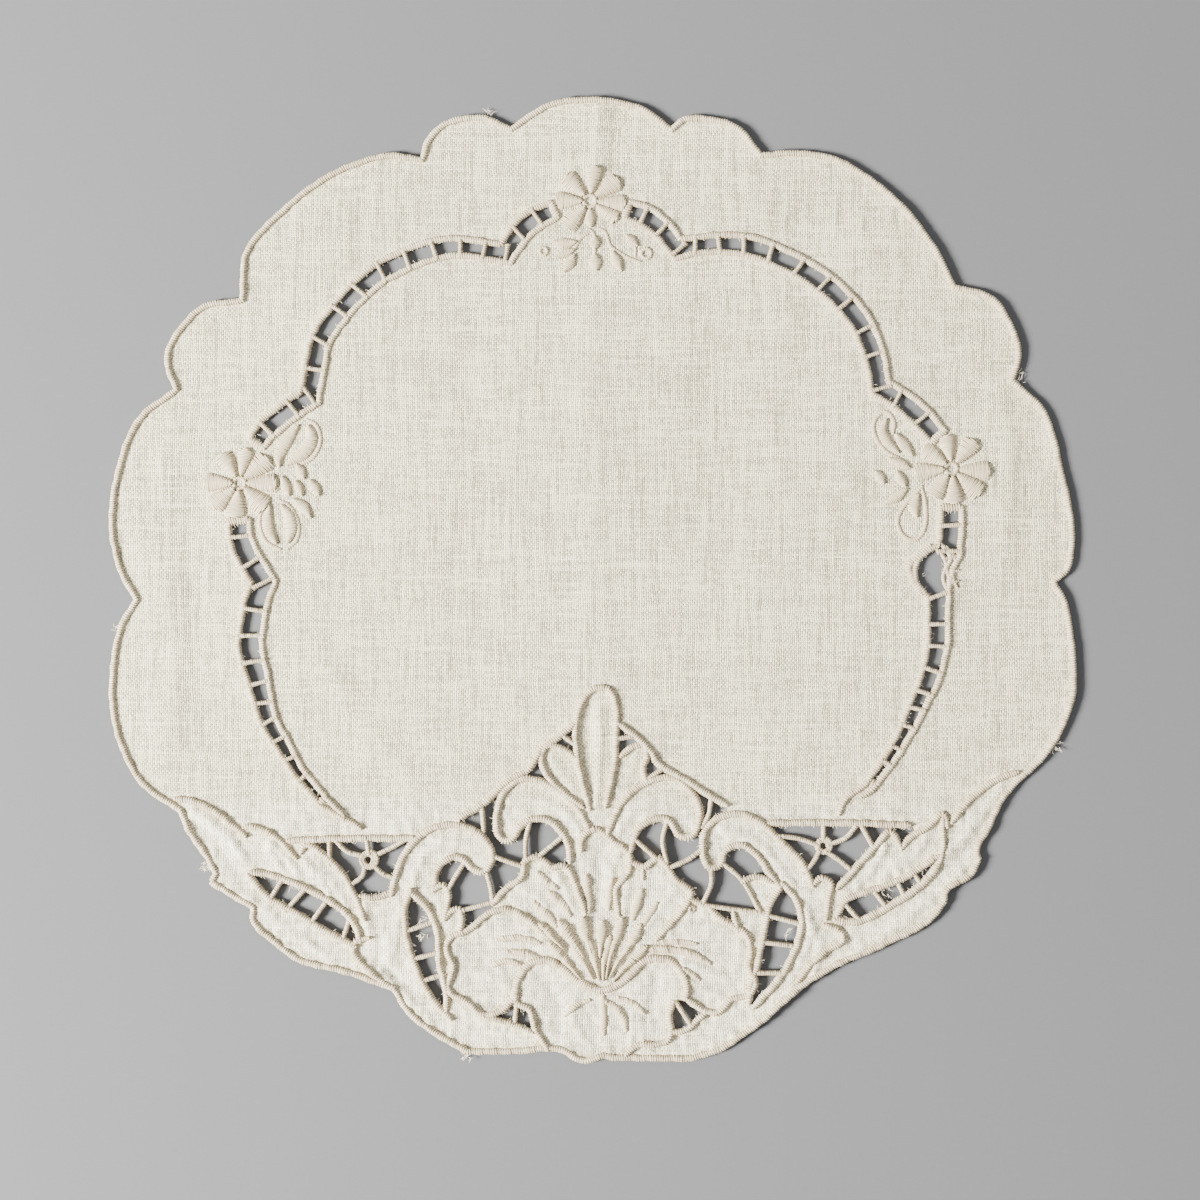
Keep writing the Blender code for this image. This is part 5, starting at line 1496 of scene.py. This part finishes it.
@dataclass(frozen=True)
class ThreadFinish:
    """Cotton thread, cream with age, two strands twisted together. Lengths are in metres."""

    name: str
    bright: Colour
    # The dull colour is both the thread's duller tone and the colour its painted shade goes to.
    dull_and_shaded: Colour
    roughness: float = 0.72
    # How much painted shade darkens a stitch towards its ends, where it meets the cloth.
    end_shade: float = 0.8
    # How much painted shade darkens the groove between two stitches.
    grooves: float = 0.8
    relief: float = 0.00005

    def twist_group(self) -> bpy.types.NodeTree:
        """Build the twist that shows along each stitch, or fetch it where it is already built.

        Returns:
            The group.
        """
        name = "twisted thread"
        if name in bpy.data.node_groups:
            return bpy.data.node_groups[name]
        group = new_group(name, "Shader", (("Thread", "Vector"), ("Place", "Vector"), ("Turns", "Float", 5.0)),
                          (("Height", "Float"), ("Fibre", "Float")))
        w = Wiring(group)
        given = w.given()
        parts = w.parts(given["Thread"])
        turn = w.blend(parts["X"], given["Turns"], w.times(parts["Y"], 2.0))
        twist = w.blend(w.maths("SINE", w.times(turn, 2 * math.pi)), 0.5, 0.5)
        fibre = w.noise(given["Place"], 2600.0, 2.0)
        w.node("NodeGroupOutput", {"Height": w.blend(fibre, 0.5, w.times(twist, 0.5)), "Fibre": fibre})
        return group

    def make(self) -> bpy.types.Material:
        """Make the thread's material: painted shade at the stitch's ends, where it dives into the cloth, and painted
        shade in the groove beside it.

        Returns:
            The material.
        """
        material, w, place = new_material(self.name)
        along_thread = w.first("ShaderNodeUVMap", uv_map="thread")
        twist = w.node("ShaderNodeGroup", node_tree=self.twist_group())
        material.node_tree.links.new(along_thread, twist.inputs["Thread"])
        material.node_tree.links.new(place, twist.inputs["Place"])
        share = w.plus(w.times(w.stored("tone"), 0.4), w.times(w.noise(place, 110.0, 3.0), 0.6))
        share = w.blend(twist.outputs["Fibre"], 0.3, w.minus(share, 0.15))
        thread = w.parts(along_thread)
        from_middle = w.maths("ABSOLUTE", w.blend(thread["X"], 2.0, -1.0))
        # Painted shade: each stitch is darkened towards both ends, where it meets the cloth.
        unshaded = w.minus(1.0, w.times(w.maths("POWER", from_middle, 1.5), self.end_shade))
        # Painted shade: the faces down in the groove between two stitches are darkened.
        from_top = w.minus(0.5, w.maths("ABSOLUTE", w.minus(thread["Y"], 0.5)))
        flank = w.times(w.minus(from_top, 0.1), 5.0, clamp=True)
        share = w.times(w.times(share, unshaded, clamp=True), w.blend(flank, -self.grooves, 1.0))
        bump = w.first("ShaderNodeBump", {"Height": twist.outputs["Height"], "Distance": self.relief,
                                          "Strength": 0.5})
        w.surface("ShaderNodeBsdfPrincipled", {
            "Base Color": w.mixed(share, self.dull_and_shaded, self.bright), "Roughness": self.roughness, "Normal": bump,
            "Sheen Weight": 0.15, "Sheen Roughness": 0.4})
        return material


CORD_THREAD = ThreadFinish("cream cord thread", (0.94, 0.86, 0.68, 1.0), (0.33, 0.26, 0.155, 1.0))
SATIN_THREAD = ThreadFinish("white satin thread", (0.74, 0.65, 0.46, 1.0), (0.46, 0.39, 0.27, 1.0),
                            roughness=0.6, end_shade=0.75, grooves=0.5)
LOOSE_THREAD = ThreadFinish("white loose thread", (0.93, 0.87, 0.73, 1.0), (0.66, 0.59, 0.45, 1.0),
                            roughness=0.7, end_shade=0.0, grooves=0.0)


@dataclass(frozen=True)
class FloorFinish:
    """A plain pale matt board."""

    colour: tuple[float, float, float] = (0.130, 0.137, 0.152)
    roughness: float = 0.95

    def make(self) -> bpy.types.Material:
        """Make the floor's material.

        Returns:
            The material.
        """
        material, w, place = new_material("pale board")
        colour = w.scaled(self.colour, w.blend(w.noise(place, 900.0, 3.0), 0.06, 0.97))
        w.surface("ShaderNodeBsdfPrincipled", {"Base Color": colour, "Roughness": self.roughness})
        return material


# ---- the cloth ----

@dataclass
class LinenGround:
    """The linen itself: one thin sheet, cut away between the cords. Lengths are in millimetres."""

    pattern: Pattern
    thickness: float = 0.34
    level: float = 0.66
    least_gap: float = 0.08
    wave: float = 0.16
    ripple: float = 0.04
    foot_rise: float = 0.2
    crumple: float = 0.13
    fine_crumple: float = 0.05
    pucker: float = 0.06
    pucker_reach: float = 2.2
    pucker_clear: float = 0.4
    shoulder: float = 0.16
    shoulder_reach: float = 1.1
    fold_share: float = 1.35
    foot_start: float = -46.0
    foot_fade: float = 8.0
    grid: float = 1.08
    foot_grid: float = 0.76
    foot_top: float = -48.0
    half_size: float = 111.0
    side: float = 0.75
    merged: float = 0.04
    touch: float = 0.12
    end_reach: float = 2.7
    largest_cell: float = 600.0
    points: np.ndarray = field(default_factory=lambda: np.zeros((0, 2)))
    faces: list[list[int]] = field(default_factory=list)
    open_centres: np.ndarray = field(default_factory=lambda: np.zeros((0, 2)))

    def __post_init__(self) -> None:
        """Sample the cords, for the cloth's rise towards them."""
        paths = [cord.path for cord in self.pattern.cords()]
        self.cord_marks = np.concatenate([marks_along(path) for path in paths])
        self.cord_tree = tree_of(np.vstack(paths))
        self.trees = [tree_of(path) for path in paths]
        self.folds = [(smooth(places, 1.0), reach, height) for reach, height, places in rows_of(FOLDS)]

    def height(self, points: np.ndarray) -> np.ndarray:
        """Give the top face's height: long waves, a crumpled foot, folds, and a pucker along each cord.

        Args:
            points: Places on the cloth, x and y.

        Returns:
            The height at each.
        """
        x, y = points[:, 0], points[:, 1]
        waves = (np.sin(x / 17.0 + 0.6) * np.cos(y / 23.0) + np.sin((x + 2 * y) / 31.0)
                 + 0.6 * np.sin((3 * x - y) / 19.0 + 1.0)) / 2.6
        ripples = np.sin(x / 3.1 + 1.3 * np.sin(y / 9.0)) * np.sin(y / 3.7 + 1.1 * np.sin(x / 11.0))
        crumples = np.sin(x / 0.95 + 2.2 * np.sin(y / 2.7)) * np.sin(y / 1.2 + 1.9 * np.sin(x / 3.3))
        fine_crumples = np.sin(x / 0.47 + 2.0 * np.sin(y / 1.3))
        in_foot = np.clip((self.foot_start - y) / self.foot_fade, 0.0, 1.0)
        height = self.level + self.wave * waves + self.ripple * ripples + in_foot * (
            self.foot_rise + self.crumple * crumples + self.fine_crumple * fine_crumples)
        for path, reach, rise in self.folds:
            near = (abs(x - path[:, 0].mean()) < np.ptp(path[:, 0]) / 2 + 3 * reach) & (
                abs(y - path[:, 1].mean()) < np.ptp(path[:, 1]) / 2 + 3 * reach)
            if near.any():
                height[near] += rise * self.fold_share * np.exp(-(distance_to_line(points[near], path) / reach) ** 2)
        index, away = nearest(self.cord_tree, points)
        marks = self.cord_marks[index]
        pucker = (np.sin(marks * 1.55 + np.sin(marks * 0.31) * 2.0) + 0.7 * np.sin(marks * 2.5 + 1.0)) * self.pucker
        height += self.shoulder * np.exp(-away / self.shoulder_reach) + pucker * (0.8 + 1.3 * in_foot) * np.exp(
            -away / (self.pucker_reach + 0.8 * in_foot)) * (away > self.pucker_clear)
        return np.maximum(height, self.thickness + self.least_gap)

    def cut(self) -> None:
        """Mesh the cloth in plan, and leave out what lies beyond the rim and in the gaps."""
        points, edges = [], []
        for cord in self.pattern.cords():
            path = self.thinned(cord.path, cord.closed)
            first = len(points)
            points.extend(path)
            edges.extend(joined_sides(first, len(path), cord.closed))
            edges.extend(self.joined(cord, path, first, points))
        for places in CUT_EDGES:
            edges.extend(joined_sides(len(points), len(places)))
            points.extend(np.array(place, float) for place in places)
        drawn = np.array([tuple(point) for point in points])
        vectors = [Vector((float(x), float(y))) for x, y in np.vstack([drawn, self.grid_points(drawn)])]
        found = delaunay_2d_cdt(vectors, edges, [], 0, self.merged, True)
        self.points = np.array([tuple(point) for point in found[0]])
        triangles = np.array([list(face) for face in found[2]])
        walls = {frozenset(edge) for edge, sources in zip(found[1], found[4]) if sources}
        centres = self.points[triangles].mean(axis=1)
        kept = inside_loop(centres, self.thinned(self.pattern.rim[0].path, True))
        gone = self.open_triangles(triangles, centres, walls)
        self.open_centres = centres[gone]
        self.faces = [list(face) for face, keep in zip(triangles.tolist(), kept & ~gone) if keep]

    def thinned(self, path: np.ndarray, closed: bool) -> np.ndarray:
        """Keep points of a path that are about one side apart.

        Args:
            path: The path's points.
            closed: Whether it is a loop, which keeps no end point of its own.

        Returns:
            The kept points.
        """
        kept = [path[0]]
        for point in path[1:]:
            if np.linalg.norm(point - kept[-1]) > self.side * 0.8:
                kept.append(point)
        if not closed:
            kept[-1 if np.linalg.norm(path[-1] - kept[-1]) < self.side * 0.5 else len(kept):] = [path[-1]]
        return np.array(kept)

    def joined(self, cord: Line, path: np.ndarray, first: int, points: list) -> list[tuple[int, int]]:
        """Close the way between a cord and its neighbours where they touch, and beyond its ends.

        Args:
            cord: The cord.
            path: The points drawn for it.
            first: The first one's number among the points.
            points: All drawn points, which the far ends are added to.

        Returns:
            The edges that close it.
        """
        edges = []
        for other, tree in zip(self.pattern.cords(), self.trees):
            if other is cord:
                continue
            index, gaps = nearest(tree, path)
            limits = np.full(len(path), cord.half_width[0] + other.half_width[0] + self.touch)
            if not cord.closed:
                limits[[0, -1]] = self.end_reach
            for number in np.flatnonzero(gaps < limits):
                reach = other.path[index[number]] - path[number]
                points.append(path[number] + reach * (1.0 + 0.15 / max(gaps[number], 0.05)))
                edges.append((first + int(number), len(points) - 1))
        return edges

    def grid_points(self, drawn: np.ndarray) -> np.ndarray:
        """Give even points on the ground in rows set half a step apart, clear of the drawn lines.

        Args:
            drawn: The drawn lines' points.

        Returns:
            The even points.
        """
        rows = []
        for low, high, step in ((-self.half_size, self.foot_top, self.foot_grid),
                                (self.foot_top, self.half_size, self.grid)):
            for order, y in enumerate(np.arange(low, high, step * math.sqrt(3) / 2)):
                x = np.arange(-self.half_size, self.half_size, step) + (step / 2 if order % 2 else 0.0)
                rows.append(np.column_stack([x, np.full(len(x), y)]))
        grid = np.vstack(rows)
        grid = grid[inside_loop(grid, self.pattern.rim[0].path)]
        _, away = nearest(tree_of(drawn), grid)
        return grid[away > self.grid * 0.5]

    def open_triangles(self, triangles: np.ndarray, centres: np.ndarray, walls: set) -> np.ndarray:
        """Tell which triangles are in a gap.

        Args:
            triangles: The triangles.
            centres: Their middles.
            walls: The sides that lie on a drawn line.

        Returns:
            True for each open triangle.
        """
        gone = np.zeros(len(triangles), bool)
        for loop in self.pattern.channels:
            gone |= inside_loop(centres, loop)
        owners = defaultdict(list)
        for number, triangle in enumerate(triangles.tolist()):
            for a, b in zip(triangle, triangle[1:] + triangle[:1]):
                owners[frozenset((a, b))].append(number)
        beside_each = defaultdict(list)
        for side, pair in owners.items():
            if len(pair) == 2 and side not in walls:
                beside_each[pair[0]].append(pair[1])
                beside_each[pair[1]].append(pair[0])
        areas = abs(triangle_areas(self.points[triangles]))
        for name, places in CELLS.items():
            for place in places:
                start = int(np.linalg.norm(centres - np.array(place, float), axis=1).argmin())
                reached, waiting = {start}, [start]
                while waiting:
                    for number in beside_each[waiting.pop()]:
                        if number not in reached:
                            reached.add(number)
                            waiting.append(number)
                size = areas[sorted(reached)].sum()
                if size > self.largest_cell:
                    LOG.warning("the cell %s at %s is not closed: %.0f square millimetres", name, place, size)
                    continue
                gone[sorted(reached)] = True
        return gone

    def build(self) -> bpy.types.Object:
        """Make the sheet as one closed mesh: top, underside and cut edges.

        Returns:
            The sheet.
        """
        self.cut()
        used = sorted({index for face in self.faces for index in face})
        place = {index: order for order, index in enumerate(used)}
        flat = self.points[used]
        top = self.height(flat)
        count = len(used)
        faces = [[place[index] for index in face] for face in self.faces]
        turned = triangle_areas(flat[np.array(faces)]) < 0
        faces = [face[::-1] if flip else face for face, flip in zip(faces, turned)]
        sides = {(p, q) for face in faces for p, q in zip(face, face[1:] + face[:1])}
        walls = [(q, p, p + count, q + count) for p, q in sides if (q, p) not in sides]
        under = [[index + count for index in reversed(face)] for face in faces]
        upper, lower = np.column_stack([flat, top]), np.column_stack([flat, top - self.thickness])
        data = bpy.data.meshes.new("linen_ground")
        data.from_pydata((np.vstack([upper, lower]) * MM).tolist(), [], faces + under + walls)
        data.validate()
        _, away = nearest(self.cord_tree, flat)
        # The nearness to a cord masks the painted shade beside the cords and flattens the weave's bump there.
        near = np.exp(-np.maximum(away - 0.7, 0.0))
        in_foot = np.clip((self.foot_top - flat[:, 1]) / 6.0, 0.0, 1.0) * np.clip(away - 0.8, 0.0, 1.0)
        point_values(data, "cord_nearness", np.tile(near, 2))
        point_values(data, "in_foot", np.tile(in_foot, 2))
        data.shade_smooth()
        data.set_sharp_from_angle(angle=math.radians(50))
        return placed("linen_ground", data)


# ---- loose ends ----

@dataclass
class Fraying:
    """Short threads that stand out of worn places and cut edges. Lengths are in millimetres."""

    ground: LinenGround
    spacing: float = 0.9
    share: float = 0.32
    thickness: float = 0.07
    spread: float = 1.1
    edge: float = 0.25
    root: float = 0.8
    turning: float = 42.0
    edge_turning: float = 0.8
    near_gap: float = 0.45
    lowest: float = 0.12
    steps: int = 4
    tip: float = 0.35
    tone: float = 0.8
    seed: int = 17

    def hairs(self) -> list[np.ndarray]:
        """Draw every loose thread.

        Returns:
            Each one's points, x, y and z.
        """
        draw = random.Random(self.seed)
        found = []
        for (x, y), count, longest, bearing in FRAYS.values():
            for _ in range(count):
                start = np.array([x + draw.uniform(-self.spread, self.spread),
                                  y + draw.uniform(-self.spread, self.spread)])
                found.append(self.hair(draw, start, math.radians(bearing + draw.gauss(0, self.turning)),
                                       longest * draw.uniform(0.4, 1.0)))
        tree = tree_of(self.ground.open_centres)
        for cord in self.ground.pattern.cutwork_cords + self.ground.pattern.ladder_cords:
            left, _ = normals_of(cord.path)
            for point, way, half in zip(cord.path, left, cord.half_width):
                if draw.random() > self.share / self.spacing:
                    continue
                for side in (-1.0, 1.0):
                    edge = point + way * side * (half + self.edge)
                    if tree.find((*edge, 0.0))[2] < self.near_gap:
                        start = point + way * side * half * self.root
                        bearing = math.atan2(way[1] * side, way[0] * side) + draw.gauss(0, self.edge_turning)
                        found.append(self.hair(draw, start, bearing, draw.uniform(0.3, 1.0)))
        return found

    def hair(self, draw: random.Random, start: np.ndarray, bearing: float, length: float) -> np.ndarray:
        """Draw one loose thread.

        Args:
            draw: The source of chance.
            start: Where it leaves the cloth.
            bearing: Which way, in radians.
            length: How long it is.

        Returns:
            Its points, x, y and z.
        """
        level = float(self.ground.height(start.reshape(1, 2))[0])
        bend, rise = draw.uniform(-1.2, 1.2), draw.uniform(-0.3, 0.25)
        points = [np.array([start[0], start[1], level])]
        for step in range(1, self.steps + 1):
            turn = bearing + bend * step / self.steps
            ahead = np.array([math.cos(turn), math.sin(turn), 0.0]) * length / self.steps
            points.append(points[-1] + ahead)
            points[-1][2] = max(self.lowest, level + rise * step / self.steps)
        return np.array(points)

    def make_tree(self) -> bpy.types.NodeTree:
        """Build the tree: a thin tapered tube along each thread.

        Returns:
            The tree.
        """
        tree = new_group("loose threads", "Geometry", (
            ("Geometry", "Geometry"), ("Thickness", "Float", 0.0001), ("Material", "Material")),
            (("Geometry", "Geometry"),))
        w = Wiring(tree)
        given = w.given()
        curve = w.first("GeometryNodeMeshToCurve", {"Mesh": given["Geometry"]})
        tubes = w.with_tone(w.tube(curve, 4, w.times(w.attribute("taper"), given["Thickness"])), self.tone)
        w.finish(w.first("GeometryNodeRealizeInstances", {"Geometry": tubes}), given["Material"])
        return tree

    def build(self, name: str, thread: bpy.types.Material) -> bpy.types.Object:
        """Make all loose threads as one piece.

        Args:
            name: The piece's name.
            thread: The material.

        Returns:
            The piece, as a plain mesh.
        """
        places, edges, taper = [], [], []
        for hair in self.hairs():
            edges.extend(joined_sides(len(places), len(hair)))
            places.extend((hair * MM).tolist())
            taper.extend(np.linspace(1.0, self.tip, len(hair)))
        data = bpy.data.meshes.new("guide")
        data.from_pydata(places, edges, [])
        point_values(data, "taper", taper)
        values = {"Thickness": self.thickness * MM, "Material": thread}
        piece = grown(placed("guide", data), self.make_tree(), values, name)
        piece.data.shade_smooth()
        return piece


# ---- the studio ----

@dataclass
class Studio:
    """A pale floor, soft light from the left, and a camera straight above. Lengths are in metres."""

    look_at: tuple[float, float] = (0.0018, -0.0045)
    view_width: float = 0.2727
    lens: float = 50.0
    sensor: float = 36.0
    clip: tuple[float, float] = (0.01, 20.0)
    floor_size: float = 8.0
    sky: Colour = (1.0, 0.97, 0.91, 1.0)
    sky_strength: float = 0.43

    def build(self) -> None:
        """Make the floor, the lights, the world and the camera."""
        mesh = bmesh.new()
        bmesh.ops.create_grid(mesh, x_segments=4, y_segments=4, size=self.floor_size / 2)
        data = bpy.data.meshes.new("floor")
        mesh.to_mesh(data)
        mesh.free()
        data.materials.append(FloorFinish().make())
        floor = placed("floor", data)
        self.light("key light", (-1.0, -0.24, 0.53), 0.33, 107.0, (1.0, 0.955, 0.865))
        self.light("fill light", (0.45, 0.55, 0.60), 0.60, 2.4, (1.0, 0.965, 0.90))
        world = bpy.data.worlds.new("studio")
        world.use_nodes = True
        Wiring(world.node_tree).surface("ShaderNodeBackground", {"Color": self.sky, "Strength": self.sky_strength},
                                        "ShaderNodeOutputWorld")
        bpy.context.scene.world = world
        data = bpy.data.cameras.new("camera")
        data.lens, data.sensor_width = self.lens, self.sensor
        data.clip_start, data.clip_end = self.clip
        camera = placed("camera", data)
        camera.location = (*self.look_at, self.view_width * self.lens / self.sensor)
        bpy.context.scene.camera = camera

    def light(self, name: str, place: tuple[float, float, float], size: float, power: float,
              colour: tuple[float, float, float]) -> None:
        """Hang one soft light.

        Args:
            name: Its name.
            place: Where it hangs.
            size: Its width.
            power: Its power in watts.
            colour: Its colour.
        """
        data = bpy.data.lights.new(name, "AREA")
        data.shape, data.size, data.energy, data.color = "DISK", size, power, colour
        lamp = placed(name, data)
        lamp.location = place
        lamp.rotation_mode = "QUATERNION"
        lamp.rotation_quaternion = (-Vector(place)).to_track_quat("-Z", "Y")


def open_side(cords: list[Line], ground: LinenGround) -> None:
    """Turn each cord's knots to the side where the cloth is cut away.

    Args:
        cords: The cords.
        ground: The cut cloth.
    """
    tree = tree_of(ground.open_centres)
    for cord in cords:
        left, _ = normals_of(cord.path)
        gaps = [nearest(tree, cord.path + left * reach)[1].mean() for reach in (KNOT_TEST, -KNOT_TEST)]
        cord.purl_side = 1.0 if gaps[0] < gaps[1] else -1.0


def main() -> None:
    """Build the studio and the doily, piece by piece."""
    logging.basicConfig(level=logging.INFO, format="%(message)s")
    Studio().build()
    pattern = Pattern().draw()
    ground = LinenGround(pattern)
    sheet = ground.build()
    sheet.data.materials.append(LinenFinish().make())
    open_side(pattern.cutwork_cords, ground)
    cord_thread, satin_thread, loose_thread = (kind.make() for kind in (CORD_THREAD, SATIN_THREAD, LOOSE_THREAD))
    layer = ThreadLayer(ground)
    pieces = [layer.lay(*work) for work in (
        ("rim_cord", pattern.rim, BUTTONHOLE, cord_thread),
        ("ladder_cords", pattern.ladder_cords, BUTTONHOLE, cord_thread),
        ("cutwork_cords", pattern.cutwork_cords, BUTTONHOLE, cord_thread),
        ("ladder_bars", pattern.ladder_bars, WRAPPED, cord_thread),
        ("cutwork_bars", pattern.cutwork_bars, WRAPPED, cord_thread),
        ("woven_wheels", pattern.wheels, WRAPPED, cord_thread),
        ("satin_petals", pattern.petals, SATIN, satin_thread),
        ("flower_stamens", pattern.stamens, PADDED_SATIN, satin_thread),
        ("stem_lines", pattern.stems, STEM, satin_thread),
        ("darned_place", pattern.darns, WRAPPED, cord_thread),
    )]
    pieces.append(Fraying(ground).build("frayed_threads", loose_thread))
    for piece in [sheet, *pieces]:
        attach(piece, "root")
        count = sum(len(polygon.vertices) - 2 for polygon in piece.data.polygons)
        LOG.info("%s: %d triangles", piece.name, count)
    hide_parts("doily_cloth")


if __name__ == "__main__":
    main()
